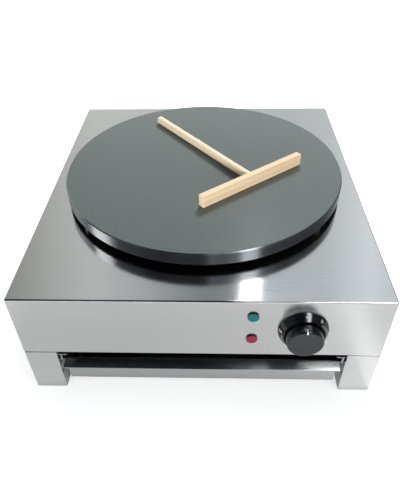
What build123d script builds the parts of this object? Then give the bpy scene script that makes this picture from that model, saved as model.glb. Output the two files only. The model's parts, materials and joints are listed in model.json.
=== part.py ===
from build123d import *
import os
from math import acos, asin, cos, degrees, radians, sin, tan

# Electric crepe maker: a round cast hotplate stands on spacers over a folded stainless housing,
# two folded legs carry the housing, and a storage drawer slides between them.
# Units are millimetres. X runs left to right as the cook sees it, Y from front to back, Z up.
# Z = 0 is the worktop, and the housing is centred on X = Y = 0 while it is modelled.

# ---------------------------------------------------------------- driving dimensions
# Folded stainless sheet
sheet = 1.0  # thickness of the housing, base, legs and drawer
bend = 2.0  # outside radius of a fold

# Housing
housing_width = 450.0
housing_depth = 500.0
housing_height = 95.0
return_flange = 14.0  # turned in along the bottom edge of the walls
base_inset = 1.5  # how far the base panel stays back from the walls
opening_inset = 29.0  # from the hotplate's edge in to the round opening in the top

# Legs
leg_width = 41.3
leg_height = 74.5
foot_plate_length = 44.0  # of the plate at each end of a leg's open underside, which carries a foot

# Rubber feet, pushed into the legs from below
foot_radius = 12.0
foot_height = 1.5
foot_edge = 0.6
foot_neck_radius = 4.0
foot_barb_radius = 5.2
foot_tip_radius = 2.8
foot_barb_height = 5.0
foot_inset = 23.0  # from the end of the leg to the middle of the foot

# Cast hotplate
plate_radius = 200.0
plate_thickness = 9.0
rim_height = 17.7
rim_wall = 11.0
rim_draft = 3.0  # how far the inside of the rim leans inwards towards the underside
rim_chamfer = 1.5
rim_lower_chamfer = 0.8
groove_depth = 1.5  # shallow ring grooves that locate the heating elements
groove_margin = 0.4

# Spacers that carry the hotplate, and the studs through them
spacer_height = 9.3
spacer_radius = 9.0
spacer_inset = 13.0  # from the hotplate's edge to the middle of a spacer
spacer_angle = 37.0  # from the X axis
plate_boss_radius = 11.5
stud_radius = 3.0
stud_depth = 12.0  # engagement in the hotplate
stud_tail = 3.0  # thread showing below the nut
nut_across_flats = 10.0
nut_height = 5.0
washer_radius = 6.0
washer_thickness = 1.2

# Fits
through_clearance = 0.3  # radial, where a stud or screw passes through sheet
thread_clearance = 0.05  # radial, between a thread and what it is screwed into
running_clearance = 0.05  # radial, between a spindle and its bore
contact_gap = 0.1  # between pieces that only press on each other
head_chamfer = 0.4  # of a screw head, as a share of its height
tightest_run = 0.45  # most of a straight run of wire or tube that one bend may take

# Tubular heating elements
element_radius = 4.0
outer_loop_inset = 55.0  # from the hotplate's edge to the middle of the outer tube
loop_pitch = 60.0  # from the outer loop to the inner one
loop_gap = 50.0  # straight distance between the two ends of a loop
element_bend = 12.0
element_tail = 14.0  # how far an element reaches below the heat pan
bead_radius = 4.6
bead_height = 6.0
pin_radius = 1.6
pin_length = 14.0

# Clamp that presses the elements against the hotplate
clamp_arm_width = 18.0
clamp_thickness = 2.0
clamp_overhang = 13.0  # how far an arm reaches past the middle of the outer tube
clamp_hub_radius = 26.0
clamp_angles = (30.0, 150.0, 270.0)
clamp_boss_radius = 8.0
clamp_boss_gap = 0.6  # left between the boss and the clamp, so that the nut pulls the clamp up
clamp_stud_depth = 8.0

# Heat pan and insulation
pan_sheet = 0.8
pan_gap = 2.0  # between the pan's wall and the edge of the opening
pan_depth = 35.0
pan_flange_margin = 10.0  # from the middle of a stud to the flange's edge
pan_corner = 6.0
pad_thickness = 20.0
pad_margin = 1.0
duct_margin = 1.5  # radial room round an element leg in the pan and the pad

# Thermostat and its knob. Depths are measured outwards from the front panel.
control_inset = 102.2  # from the housing's right side
control_height = 48.0  # above the bottom edge of the housing
thermostat_width = 40.0
thermostat_tall = 32.0
thermostat_depth = 26.0
thermostat_plate = 1.5
thermostat_plate_margin = 2.0
thermostat_screw_pitch = 28.0
thermostat_screw_bite = 4.0  # length of screw inside the case
nose_radius = 4.8
nose_reach = 2.6
spindle_radius = 3.0
spindle_flat = 0.8  # how deep the flat is cut
spindle_reach = 19.0
spindle_depth = 14.0  # length of spindle inside the thermostat
spindle_flat_length = 11.0
blade_width = 6.3
blade_thickness = 0.8
blade_length = 9.0
blade_spacing = 20.0
dial_radius = 30.0
dial_front_radius = 25.2
dial_mouth_radius = 24.0
dial_depth = 10.0
dial_foot = 1.2  # straight edge where the dial ring meets the panel
dial_floor = 2.0
dial_bulge = 1.2  # how far the sloping face of the dial ring is crowned
knob_radius = 22.4
knob_front_radius = 21.5
knob_start = 5.0
knob_reach = 22.9
knob_wall = 2.2
knob_face = 3.0
knob_edge = 2.2
knob_dish = 0.8  # depth of the shallow hollow in the knob's face
knob_dish_radius = 17.0
hub_radius = 6.2
knob_rib = 1.6
knob_rib_height = 8.0
rib_count = 6
small_screw_radius = 2.0
small_screw_head = 3.6
small_screw_head_height = 2.2

# Sensor bulb and capillary
bulb_radius = 3.0
bulb_length = 80.0
bulb_angle = -35.0
capillary_radius = 1.0
capillary_lead = 18.0  # straight run from the bulb to the first bend
capillary_low = 14.0  # height of the capillary's low run below the pan
capillary_bend = 8.0
clip_sheet = 1.0
clip_width = 12.0
clip_foot = 10.0
clip_bend = 0.8  # to the middle of the strap
clip_setback = 1.0  # from the strap's wall to its screw's side of the foot
clip_screw_depth = 5.0

# Pilot lamps
lamp_offset = 60.1  # from the control's axis, to the left
lamp_middle = 50.65  # height of the pair's middle above the bottom edge of the housing
lamp_pitch = 39.5
lens_radius = 7.0
lens_reach = 2.2
lens_edge = 0.5
lens_plug_radius = 4.2
lens_plug_depth = 8.0
lamp_radius = 5.5
lamp_depth = 28.0
lamp_blade_spacing = 5.0
lamp_blade_length = 8.0
lamp_blade_width = 2.8
lamp_nut_flats = 15.0
lamp_nut_height = 4.0

# Cable gland at the back
gland_inset = 75.0  # from the housing's left side
gland_height = 28.0  # above the bottom edge of the housing
gland_thread_radius = 10.0
gland_flats = 24.0
gland_flange = 4.5
gland_neck_radius = 9.0
gland_neck = 10.0  # how far the threaded neck stands out from the panel
gland_tail = 9.0  # thread inside the housing, behind the panel
gland_passage = 6.5
gland_cord_radius = 5.0  # bore of the seal, for a heavy mains cord
gland_seal_length = 10.0
gland_seal_wall = 2.8
gland_seal_stand = 2.0  # how far the seal stands out of the neck
gland_reach = 22.9
gland_nut_hex = 13.0  # how far the flats of the dome nut reach
gland_nut_step = 0.4  # from the flats in to the foot of the dome
gland_nut_draw = 1.2  # how far the dome has drawn in at its middle
gland_nut_crown = 1.0  # how far above half its height that middle is
gland_mouth_radius = 8.2
locknut_flats = 27.0
locknut_height = 5.0

# Terminal block and earth stud
block_offset = 55.0  # from the gland's axis, to the right
block_inset = 45.0  # from the back panel
block_width = 36.0
block_depth = 20.0
block_height = 17.0
block_ways = 3
block_pitch = 11.0
block_wire_hole = 2.6
block_screw_radius = 2.4
block_screw_sink = 1.5  # from the top of the block down to its screws
block_corner = 1.0
block_floor = 3.0  # left between a screw and the middle of its wire way
earth_offset = 30.0  # from the gland's axis, to the left
earth_inset = 55.0  # from the back panel
earth_stud_height = 16.0

# Leads inside the housing
lead_radius = 1.3
lead_bend = 20.0
link_bend = 8.0
link_sag = 4.0
lamp_lead_radius = 0.8
lamp_lead_bend = 6.0
lead_level = 5.0  # height of the leads' low runs above the base panel

# Ventilation slots
vent_length = 40.0
vent_width = 4.0
back_vent_columns = 2
back_vent_rows = 5
back_vent_pitch_x = 60.0
back_vent_pitch_z = 10.0
back_vent_inset = 165.0  # from the housing's right side to the middle of the field
base_vent_columns = 3
base_vent_rows = 4
base_vent_pitch_x = 70.0
base_vent_pitch_y = 16.0

# Screws that hold the legs, the base panel and the housing together
frame_screw_radius = 2.0
frame_screw_head = 4.2
frame_screw_head_height = 2.2
frame_screw_length = 8.0
leg_screw_inset = 60.0  # from the ends of the housing
leg_screw_count = 4  # along each leg
base_screw_pitch = 90.0
base_screw_count = 3  # along the front and along the back

# Drawer
drawer_lift = 12.0  # height of the drawer's lowest edge over the worktop
face_height = 45.0
face_recess = 7.0  # how far the drawer's face stands behind the legs' faces
front_overhang = 5.0  # how far the drawer's folded front reaches past the tray on each side
face_return = 12.0
lip_reach = 14.0
lip_drop = 3.5
hem_radius = 0.75  # to the middle of the sheet
hem_length = 6.0
drawer_side_gap = 11.7  # between the tray and a leg
tray_back_gap = 52.0  # from the tray to the housing's back
tray_height = 36.5
tray_corner = 3.0
flange_clearance = 1.5  # between the tray's side flange and the runner's web
runner_sheet = 1.2
runner_height = 12.0
runner_width = 9.0
runner_setback = 3.0  # from the drawer's face to the runner's front end
slide_gap = 0.3
rivet_radius = 2.0
rivet_head = 3.4
rivet_head_height = 0.9
rivet_edge = 0.3
rivet_tail = 2.7  # radius of the end headed over inside the leg
rivet_inset = 35.0  # from the ends of a runner
rivet_count = 4  # along each runner
drawer_travel = 300.0
lug_height = 6.5
lug_thickness = 1.2
lug_inset = 10.0
stop_gap = 0.3

# Spreader, lying on the hotplate
bar_length = 178.0
bar_height = 17.5
bar_thickness = 10.0
bar_edge = 0.8
handle_radius = 6.0
handle_reach = 232.0  # from the bar's back face to the rounded end
handle_socket = 7.0
handle_end = 3.0
glue_gap = 0.05
spreader_x = 66.2
spreader_y = -46.8
spreader_angle = 38.0
spreader_gap = 0.1

over = 1.0  # how far a cutter runs past the face that it cuts

# ---------------------------------------------------------------- places worked out from them
leg_top = foot_height + leg_height
base_top = leg_top + sheet
housing_top = base_top + housing_height
plate_bottom = housing_top + spacer_height
plate_top = plate_bottom + rim_height
plate_underside = plate_top - plate_thickness
half_width = housing_width / 2
opening_radius = plate_radius - opening_inset
spacer_circle = plate_radius - spacer_inset
pan_radius = opening_radius - pan_gap
pan_flange_radius = spacer_circle + pan_flange_margin
outer_loop_radius = plate_radius - outer_loop_inset
inner_loop_radius = outer_loop_radius - loop_pitch
between_loops = (outer_loop_radius + inner_loop_radius) / 2
clamp_reach = outer_loop_radius + clamp_overhang
control_x = half_width - control_inset
lamp_x = control_x - lamp_offset
gland_x = gland_inset - half_width
back = housing_depth / 2
front = -back
back_vent_x = half_width - back_vent_inset
block_x = gland_x + block_offset
block_y = back - block_inset
earth_x = gland_x - earth_offset
earth_y = back - earth_inset
leg_x = half_width - leg_width / 2
leg_inner_x = half_width - leg_width
leg_screw_x = half_width - return_flange / 2
base_screw_y = back - return_flange / 2
pan_top = housing_top - sheet
pan_bottom = pan_top - pan_depth
element_z = plate_underside + groove_depth - contact_gap - element_radius
element_end = pan_bottom - element_tail
clamp_top = element_z - element_radius - contact_gap
clamp_bottom = clamp_top - clamp_thickness
bulb_z = plate_underside - contact_gap - bulb_radius
face_y = front + face_recess
tray_half = leg_inner_x - drawer_side_gap
tray_bottom = drawer_lift + sheet
flange_top = tray_bottom + tray_height
flange_bottom = flange_top - sheet
flange_half = leg_inner_x - runner_sheet - flange_clearance
runner_low = flange_bottom - slide_gap - runner_sheet
runner_top = runner_low + runner_height
tray_front = face_y + sheet
tray_back = back - tray_back_gap
runner_front = face_y + runner_setback
runner_back = tray_back + stop_gap + runner_sheet
lug_y = tray_back - lug_inset
spacer_angles = (spacer_angle, 180 - spacer_angle, 180 + spacer_angle, -spacer_angle)

# The row's origin is under the middle of the whole object, so what stands out at the front
# and at the back decides how far everything is moved along Y when it is written.
front_reach = back + max(knob_reach, lip_reach - face_recess)
back_reach = back + gland_reach
row_shift = (front_reach - back_reach) / 2


# ---------------------------------------------------------------- helpers
def block(low, high):
    """Box between two opposite corners."""
    size = [b - a for a, b in zip(low, high)]
    return Pos(*low) * Box(*size, align=(Align.MIN, Align.MIN, Align.MIN))


def rod(radius, low, high):
    """Upright cylinder between two heights."""
    standing = (Align.CENTER, Align.CENTER, Align.MIN)
    return Pos(0, 0, low) * Cylinder(radius, high - low, align=standing)


def ring(outer, inner, low, high):
    """Upright tube between two heights."""
    return rod(outer, low, high) - rod(inner, low - over, high + over)


def turned(outline):
    """Solid of revolution about Z, from (radius, height) points in order."""
    return revolve(Plane.XZ * make_face(Polyline(*outline, close=True)), Axis.Z)


def hexagon(across_flats, low, high):
    """Upright hexagonal prism."""
    outline = RegularPolygon(across_flats / 2, 6, major_radius=False)
    return Pos(0, 0, low) * extrude(outline, high - low)


def rounded_box(width, depth, low, high, radius, round_top=True):
    """Box with its upright edges, and its top edges if asked, rounded as folds."""
    box = block((-width / 2, -depth / 2, low), (width / 2, depth / 2, high))
    edges = box.edges().filter_by(Axis.Z)
    if round_top:
        edges += box.edges().group_by(Axis.Z)[-1]
    return fillet(edges, radius)


def rims(solid, radius, height):
    """The circular edges of one radius at one height."""
    return [
        edge
        for edge in solid.edges().filter_by(GeomType.CIRCLE)
        if abs(edge.radius - radius) < 1e-3 and abs(edge.arc_center.Z - height) < 1e-3
    ]


def around(radius, angles):
    """Points on a circle about the middle of the hotplate."""
    return [(radius * cos(radians(a)), radius * sin(radians(a))) for a in angles]


def screw(shank, length, head, head_height):
    """Screw standing on its head's underside at Z = 0, with its shank down."""
    crown = rod(head, 0, head_height)
    crown = chamfer(crown.edges().group_by(Axis.Z)[-1], head_height * head_chamfer)
    return crown + rod(shank, -length, 0)


def nut_and_washer(radius, flats, height):
    """Nut and washer, two loose solids, hanging below Z = 0 round a stud."""
    washer = ring(washer_radius, radius + through_clearance, -washer_thickness, 0)
    nut = hexagon(flats, -washer_thickness - height, -washer_thickness)
    nut -= rod(radius + thread_clearance, -washer_thickness - height - over, 0)
    return [washer, nut]


def bent_tube(points, radius, widest_bend):
    """Round wire or tube along straight runs joined by tangent arcs, none above the widest bend."""
    corners = [Vector(*p) for p in points]
    radii = []
    for before, here, after in zip(corners, corners[1:], corners[2:]):
        run_in = here - before
        run_out = after - here
        half_turn = radians(run_in.get_angle(run_out)) / 2
        fitting = tightest_run * min(run_in.length, run_out.length) / tan(half_turn)
        radii.append(min(widest_bend, fitting))
    path = FilletPolyline(*corners, radius=radii)
    return sweep(Plane(origin=path @ 0, z_dir=path % 0) * Circle(radius), path=path)


def folded(points, thickness, radius):
    """Cross-section of a folded strip, along the middle of the sheet."""
    return trace(FilletPolyline(*points, radius=radius), line_width=thickness)


def spread(low, high, count):
    """Evenly spaced places from one end to the other."""
    return [low + i * (high - low) / (count - 1) for i in range(count)]


def group(shapes):
    """Loose solids that share one node."""
    return Compound([solid for shape in shapes for solid in shape.solids()])


# Local frames of what sits on the front and back panels: Z points out of the panel.
def on_front(x, height):
    """Place on the outside of the front panel, at a height above the housing's bottom edge."""
    return Pos(x, front, base_top + height) * Rot(90, 0, 0)


def on_back(x, height):
    """Place on the outside of the back panel, at a height above the housing's bottom edge."""
    return Pos(x, back, base_top + height) * Rot(-90, 0, 0)


control_place = on_front(control_x, control_height)
lamp_places = {
    "green": on_front(lamp_x, lamp_middle + lamp_pitch / 2),
    "red": on_front(lamp_x, lamp_middle - lamp_pitch / 2),
}
gland_place = on_back(gland_x, gland_height)


# ---------------------------------------------------------------- housing and legs
def vent_slots(columns, rows, pitch_x, pitch_y):
    """Cutter for a field of round-ended slots through sheet that lies at Z = 0."""
    slots = [Pos(place.position) * SlotOverall(vent_length, vent_width)
             for place in GridLocations(pitch_x, pitch_y, columns, rows)]
    return Pos(0, 0, -sheet - over) * extrude(Sketch() + slots, sheet + 2 * over)


def control_holes():
    """Cutters in the front panel for the thermostat's nose, its screws and the lamps."""
    nose = rod(nose_radius + through_clearance, -sheet - over, over)
    cutters = [control_place * nose]
    for x in thermostat_screw_rows():
        hole = rod(small_screw_radius + through_clearance, -sheet - over, over)
        cutters.append(control_place * Pos(x, 0, 0) * hole)
    for place in lamp_places.values():
        cutters.append(place * rod(lamp_radius + through_clearance, -sheet - over, over))
    return cutters


def housing_shell():
    """Top and four walls folded from one sheet, open below but for a narrow turned-in flange."""
    outer = rounded_box(housing_width, housing_depth, base_top, housing_top, bend)
    inner = rounded_box(
        housing_width - 2 * sheet, housing_depth - 2 * sheet,
        base_top + sheet, housing_top - sheet, bend - sheet,
    )
    mouth = block(
        (return_flange - half_width, return_flange - back, base_top - over),
        (half_width - return_flange, back - return_flange, base_top + sheet + over),
    )
    shell = outer - inner - mouth
    shell -= rod(opening_radius, housing_top - sheet - over, housing_top + over)
    stud_hole = rod(stud_radius + through_clearance, housing_top - sheet - over, housing_top + over)
    shell -= [Pos(x, y, 0) * stud_hole for x, y in around(spacer_circle, spacer_angles)]
    shell -= control_holes()
    shell -= gland_place * rod(gland_thread_radius + through_clearance, -sheet - over, over)
    vents = vent_slots(back_vent_columns, back_vent_rows, back_vent_pitch_x, back_vent_pitch_z)
    shell -= on_back(back_vent_x, housing_height / 2) * vents
    screw_hole = rod(frame_screw_radius + thread_clearance, base_top - over, base_top + sheet + over)
    shell -= [Pos(x, y, 0) * screw_hole for x, y in frame_screw_places()]
    return shell


def leg_screw_places():
    """Where the screws pass up through a leg, the base panel and the housing's flange."""
    rows = spread(front + leg_screw_inset, back - leg_screw_inset, leg_screw_count)
    return [(x, y) for x in (-leg_screw_x, leg_screw_x) for y in rows]


def base_screw_places():
    """Where the base panel alone is screwed to the housing's front and back flanges."""
    reach = base_screw_pitch * (base_screw_count - 1) / 2
    columns = spread(-reach, reach, base_screw_count)
    return [(x, y) for x in columns for y in (-base_screw_y, base_screw_y)]


def frame_screw_places():
    return leg_screw_places() + base_screw_places()


def base_panel():
    """Flat sheet that closes the housing from below, slotted under the heat pan."""
    panel = rounded_box(
        housing_width - 2 * base_inset, housing_depth - 2 * base_inset,
        leg_top, base_top, bend, round_top=False,
    )
    vents = vent_slots(base_vent_columns, base_vent_rows, base_vent_pitch_x, base_vent_pitch_y)
    panel -= Pos(0, 0, base_top) * vents
    hole = rod(frame_screw_radius + through_clearance, leg_top - over, base_top + over)
    return panel - [Pos(x, y, 0) * hole for x, y in frame_screw_places()]


def right_leg():
    """Folded box skirt, open below."""
    leg = rounded_box(leg_width, housing_depth, foot_height, leg_top, bend)
    leg -= rounded_box(
        leg_width - 2 * sheet, housing_depth - 2 * sheet,
        foot_height - over, leg_top - sheet, bend - sheet,
    )
    leg = Pos(leg_x, 0, 0) * leg
    screw_hole = rod(frame_screw_radius + through_clearance, leg_top - sheet - over, leg_top + over)
    leg -= [Pos(x, y, 0) * screw_hole for x, y in leg_screw_places() if x > 0]
    rivet_hole = Rot(0, 90, 0) * rod(rivet_radius + contact_gap, -over, sheet + over)
    return leg - [Pos(leg_inner_x, y, rivet_z()) * rivet_hole for y in rivet_rows()]


def right_foot_plates():
    """Plates tacked into both ends of the leg, flush with its underside, that carry its feet."""
    plate = rounded_box(
        leg_width - 2 * (sheet + contact_gap), foot_plate_length,
        foot_height, foot_height + sheet, bend - sheet, round_top=False,
    )
    middle = back - sheet - contact_gap - foot_plate_length / 2
    foot_hole = rod(foot_neck_radius + contact_gap, foot_height - over, foot_height + sheet + over)
    return group([
        Pos(leg_x, side * middle, 0) * plate - Pos(leg_x, y, 0) * foot_hole
        for side, y in zip((-1, 1), foot_rows())
    ])


def foot_rows():
    return (front + foot_inset, back - foot_inset)


def rivet_z():
    return (runner_low + runner_top) / 2


def rivet_rows():
    return spread(runner_front + rivet_inset, runner_back - rivet_inset, rivet_count)


def rubber_foot():
    """Push-in bumper: a flat pad, a neck through the foot plate and a barb above it."""
    barb_low = foot_height + sheet
    return turned([
        (0, 0),
        (foot_radius - foot_edge, 0),
        (foot_radius, foot_edge),
        (foot_radius, foot_height),
        (foot_neck_radius, foot_height),
        (foot_neck_radius, barb_low),
        (foot_barb_radius, barb_low),
        (foot_tip_radius, barb_low + foot_barb_height),
        (0, barb_low + foot_barb_height),
    ])


def frame_screw():
    """Screw driven upwards, with its head below."""
    return Rot(180, 0, 0) * screw(
        frame_screw_radius, frame_screw_length, frame_screw_head, frame_screw_head_height
    )


# ---------------------------------------------------------------- hotplate and heating
def hotplate():
    """Cast disc with a deep rim, ring grooves for the elements and bosses for the studs."""
    rim_inside = plate_radius - rim_wall
    plate = turned([
        (0, plate_top),
        (plate_radius - rim_chamfer, plate_top),
        (plate_radius, plate_top - rim_chamfer),
        (plate_radius, plate_bottom + rim_lower_chamfer),
        (plate_radius - rim_lower_chamfer, plate_bottom),
        (rim_inside, plate_bottom),
        (rim_inside - rim_draft, plate_underside),
        (0, plate_underside),
    ])
    boss = rod(plate_boss_radius, plate_bottom, plate_underside)
    plate += [Pos(x, y, 0) * boss for x, y in around(spacer_circle, spacer_angles)]
    clamp_boss = rod(clamp_boss_radius, clamp_top + clamp_boss_gap, plate_underside)
    plate += [Pos(x, y, 0) * clamp_boss for x, y in around(between_loops, clamp_angles)]
    half_groove = element_radius + groove_margin
    for loop in (outer_loop_radius, inner_loop_radius):
        plate -= ring(
            loop + half_groove, loop - half_groove,
            plate_underside - over, plate_underside + groove_depth,
        )
    tapped = stud_radius + thread_clearance
    stud_hole = rod(tapped, plate_bottom - over, plate_bottom + stud_depth)
    plate -= [Pos(x, y, 0) * stud_hole for x, y in around(spacer_circle, spacer_angles)]
    clamp_hole = rod(tapped, clamp_top, clamp_top + clamp_boss_gap + clamp_stud_depth)
    plate -= [Pos(x, y, 0) * clamp_hole for x, y in around(between_loops, clamp_angles)]
    clip_hole = rod(
        small_screw_radius + thread_clearance,
        plate_underside - over, plate_underside + clip_screw_depth,
    )
    return plate - [Pos(x, y, 0) * clip_hole for x, y in clip_screw_places()]


def plate_spacer():
    return ring(spacer_radius, stud_radius + through_clearance, housing_top, plate_bottom)


def plate_stud():
    """Stud from the hotplate's boss down through the spacer, the housing and the pan's flange."""
    low = pan_top - pan_sheet - washer_thickness - nut_height - stud_tail
    return rod(stud_radius, low, plate_bottom + stud_depth - contact_gap)


def loop_legs(loop_radius):
    """Middle points of a loop's two legs, and the angle at which its bends start."""
    start = degrees(acos(loop_gap / 2 / loop_radius))
    tangent = Vector(-sin(radians(start)), cos(radians(start)))
    right = Vector(*around(loop_radius, [start])[0]) + tangent * element_bend
    return [(right.X, right.Y), (-right.X, right.Y)], start


def heating_element(loop_radius):
    """Tubular element: an open loop whose two ends turn down through the insulation."""
    legs, start = loop_legs(loop_radius)
    (x_start, y_start), (x_front, y_front) = around(loop_radius, [start, -90])
    loop_start = Vector(x_start, y_start, element_z)
    loop_end = Vector(-x_start, y_start, element_z)
    edges = [ThreePointArc(loop_start, Vector(x_front, y_front, element_z), loop_end)]
    for end, leg in ((loop_start, legs[0]), (loop_end, legs[1])):
        outwards = Vector(leg[0] - end.X, leg[1] - end.Y, 0).normalized()
        middle = end + outwards * element_bend * sin(radians(45))
        middle -= Vector(0, 0, element_bend * (1 - cos(radians(45))))
        turned_down = Vector(leg[0], leg[1], element_z - element_bend)
        edges.append(ThreePointArc(end, middle, turned_down))
        edges.append(Line(turned_down, Vector(leg[0], leg[1], element_end)))
    path = Wire([curve.edge() for curve in edges])
    return sweep(Plane(origin=path @ 0, z_dir=path % 0) * Circle(element_radius), path=path)


def element_legs():
    """Places of all four element legs."""
    return loop_legs(outer_loop_radius)[0] + loop_legs(inner_loop_radius)[0]


def element_bead():
    return ring(bead_radius, pin_radius + contact_gap, element_end - bead_height, element_end)


def element_pin():
    return rod(pin_radius, element_end - pin_length, element_end)


def element_clamp():
    """Flat three-armed clamp under both loops."""
    arm = block((0, -clamp_arm_width / 2, clamp_bottom), (clamp_reach, clamp_arm_width / 2, clamp_top))
    clamp = rod(clamp_hub_radius, clamp_bottom, clamp_top)
    clamp += [Rot(0, 0, a) * arm for a in clamp_angles]
    hole = rod(stud_radius + through_clearance, clamp_bottom - over, clamp_top + over)
    return clamp - [Pos(x, y, 0) * hole for x, y in around(between_loops, clamp_angles)]


def clamp_stud():
    low = clamp_bottom - washer_thickness - nut_height - stud_tail
    return rod(stud_radius, low, clamp_top + clamp_boss_gap + clamp_stud_depth - contact_gap)


def duct_cutters(low, high):
    """Round ducts for the element legs and the capillary through the pan and the pad."""
    duct = rod(element_radius + duct_margin, low, high)
    cutters = [Pos(x, y, 0) * duct for x, y in element_legs()]
    x, y = capillary_drop()
    cutters.append(Pos(x, y, 0) * rod(capillary_radius + duct_margin, low, high))
    return cutters


def heat_pan():
    """Pressed dish hung by its flange under the housing's opening."""
    pan = rod(pan_flange_radius, pan_top - pan_sheet, pan_top) + rod(pan_radius, pan_bottom, pan_top)
    pan = fillet(rims(pan, pan_radius, pan_bottom), pan_corner)
    inside = rod(pan_radius - pan_sheet, pan_bottom + pan_sheet, pan_top + over)
    inside = fillet(
        rims(inside, pan_radius - pan_sheet, pan_bottom + pan_sheet), pan_corner - pan_sheet
    )
    pan -= inside
    hole = rod(stud_radius + through_clearance, pan_top - pan_sheet - over, pan_top + over)
    pan -= [Pos(x, y, 0) * hole for x, y in around(spacer_circle, spacer_angles)]
    return pan - duct_cutters(pan_bottom - over, pan_bottom + pan_sheet + over)


def insulation_pad():
    low = pan_bottom + pan_sheet
    pad = rod(pan_radius - pan_corner - pad_margin, low, low + pad_thickness)
    return pad - duct_cutters(low - over, low + pad_thickness + over)


# ---------------------------------------------------------------- thermostat, bulb and knob
def bulb_place():
    """Frame at the middle of the bulb, with X outwards and Y along the bulb."""
    return Rot(0, 0, bulb_angle) * Pos(between_loops, 0, bulb_z)


def capillary_drop():
    """Where the capillary turns down through the insulation."""
    drop = (bulb_place() * Pos(0, -bulb_length / 2 - capillary_lead, 0)).position
    return drop.X, drop.Y


def sensor_bulb():
    bulb = fillet(rod(bulb_radius, -bulb_length / 2, bulb_length / 2).edges(), bulb_radius / 2)
    return bulb_place() * Rot(90, 0, 0) * bulb


def capillary_tube():
    """Thin tube from the bulb, down through the pan and across to the thermostat's side."""
    start = (bulb_place() * Pos(0, -bulb_length / 2, 0)).position
    drop_x, drop_y = capillary_drop()
    low = pan_bottom - capillary_low
    entry = (control_place * Pos(-thermostat_width / 2, 0, thermostat_middle())).position
    return bent_tube([
        start,
        (drop_x, drop_y, bulb_z),
        (drop_x, drop_y, low),
        (entry.X - 2 * capillary_bend, entry.Y + 4 * capillary_bend, entry.Z + 2),
        (entry.X - 2 * capillary_bend, entry.Y, entry.Z),
        entry,
    ], capillary_radius, capillary_bend)


def clip_screw_x():
    """Distance from the bulb's axis to the middle of the clip's feet."""
    return bulb_radius + clip_sheet + clip_foot / 2 + clip_setback


def clip_screw_places():
    places = [bulb_place() * Pos(x, 0, 0) for x in (-clip_screw_x(), clip_screw_x())]
    return [(place.position.X, place.position.Y) for place in places]


def bulb_clip():
    """Strap folded round the bulb, with a foot on each side against the hotplate."""
    foot_z = plate_underside - bulb_z - clip_sheet / 2
    wall_x = bulb_radius + clip_sheet / 2 + 2 * contact_gap
    floor_z = -bulb_radius - clip_sheet / 2 - contact_gap
    reach = clip_screw_x() + clip_foot / 2
    section = folded([
        (-reach, foot_z), (-wall_x, foot_z), (-wall_x, floor_z),
        (wall_x, floor_z), (wall_x, foot_z), (reach, foot_z),
    ], clip_sheet, clip_bend)
    strap = extrude(Plane.XZ * section, clip_width / 2, both=True)
    strap = bulb_place() * strap
    hole = rod(
        small_screw_radius + through_clearance,
        plate_underside - clip_sheet - over, plate_underside + over,
    )
    return strap - [Pos(x, y, 0) * hole for x, y in clip_screw_places()]


def clip_screws():
    one = Rot(180, 0, 0) * screw(
        small_screw_radius, clip_sheet + clip_screw_depth - contact_gap,
        small_screw_head, small_screw_head_height,
    )
    return group([Pos(x, y, plate_underside - clip_sheet) * one for x, y in clip_screw_places()])


def thermostat_screw_rows():
    """Where the two screws stand on either side of the spindle."""
    return (-thermostat_screw_pitch / 2, thermostat_screw_pitch / 2)


def thermostat_middle():
    """Depth of the middle of the thermostat's case, from the panel's outside."""
    return -sheet - thermostat_plate - thermostat_depth / 2


def thermostat_case():
    """Case behind the front panel, with a mounting plate and the nose that guides the spindle."""
    half_w = thermostat_width / 2
    half_h = thermostat_tall / 2
    margin = thermostat_plate_margin
    plate_back = -sheet - thermostat_plate
    case = block((-half_w, -half_h, plate_back - thermostat_depth), (half_w, half_h, plate_back))
    case = fillet(case.edges().filter_by(Axis.Z), bend)
    case += block(
        (-half_w - margin, -half_h - margin, plate_back),
        (half_w + margin, half_h + margin, -sheet),
    )
    case += rod(nose_radius, -sheet, nose_reach)
    bore_end = -sheet - spindle_depth - stop_gap
    case -= rod(spindle_radius + running_clearance, bore_end, nose_reach + over)
    tapped_end = plate_back - thermostat_screw_bite - stop_gap
    tapped = rod(small_screw_radius + thread_clearance, tapped_end, over)
    case -= [Pos(x, 0, 0) * tapped for x in thermostat_screw_rows()]
    return control_place * case


def thermostat_blades():
    """Two flat terminals at the back of the case."""
    back_z = -sheet - thermostat_plate - thermostat_depth
    blade = block(
        (-blade_thickness / 2, -blade_width / 2, back_z - blade_length),
        (blade_thickness / 2, blade_width / 2, back_z),
    )
    columns = (-blade_spacing / 2, blade_spacing / 2)
    return group([control_place * Pos(x, 0, 0) * blade for x in columns])


def flatted_rod(radius, low, high, flat_low):
    """Rod with a flat on its upper side from one height up."""
    beyond = radius + over
    cut = block((-beyond, radius - spindle_flat, flat_low), (beyond, beyond, high + over))
    return rod(radius, low, high) - cut


def thermostat_spindle():
    flat_low = spindle_reach - spindle_flat_length
    return control_place * flatted_rod(spindle_radius, -sheet - spindle_depth, spindle_reach, flat_low)


def thermostat_screws():
    """Two screws through the dial ring's floor and the panel into the thermostat."""
    one = Pos(0, 0, dial_floor) * screw(
        small_screw_radius, dial_floor + sheet + thermostat_plate + thermostat_screw_bite,
        small_screw_head, small_screw_head_height,
    )
    return group([control_place * Pos(x, 0, 0) * one for x in thermostat_screw_rows()])


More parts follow.
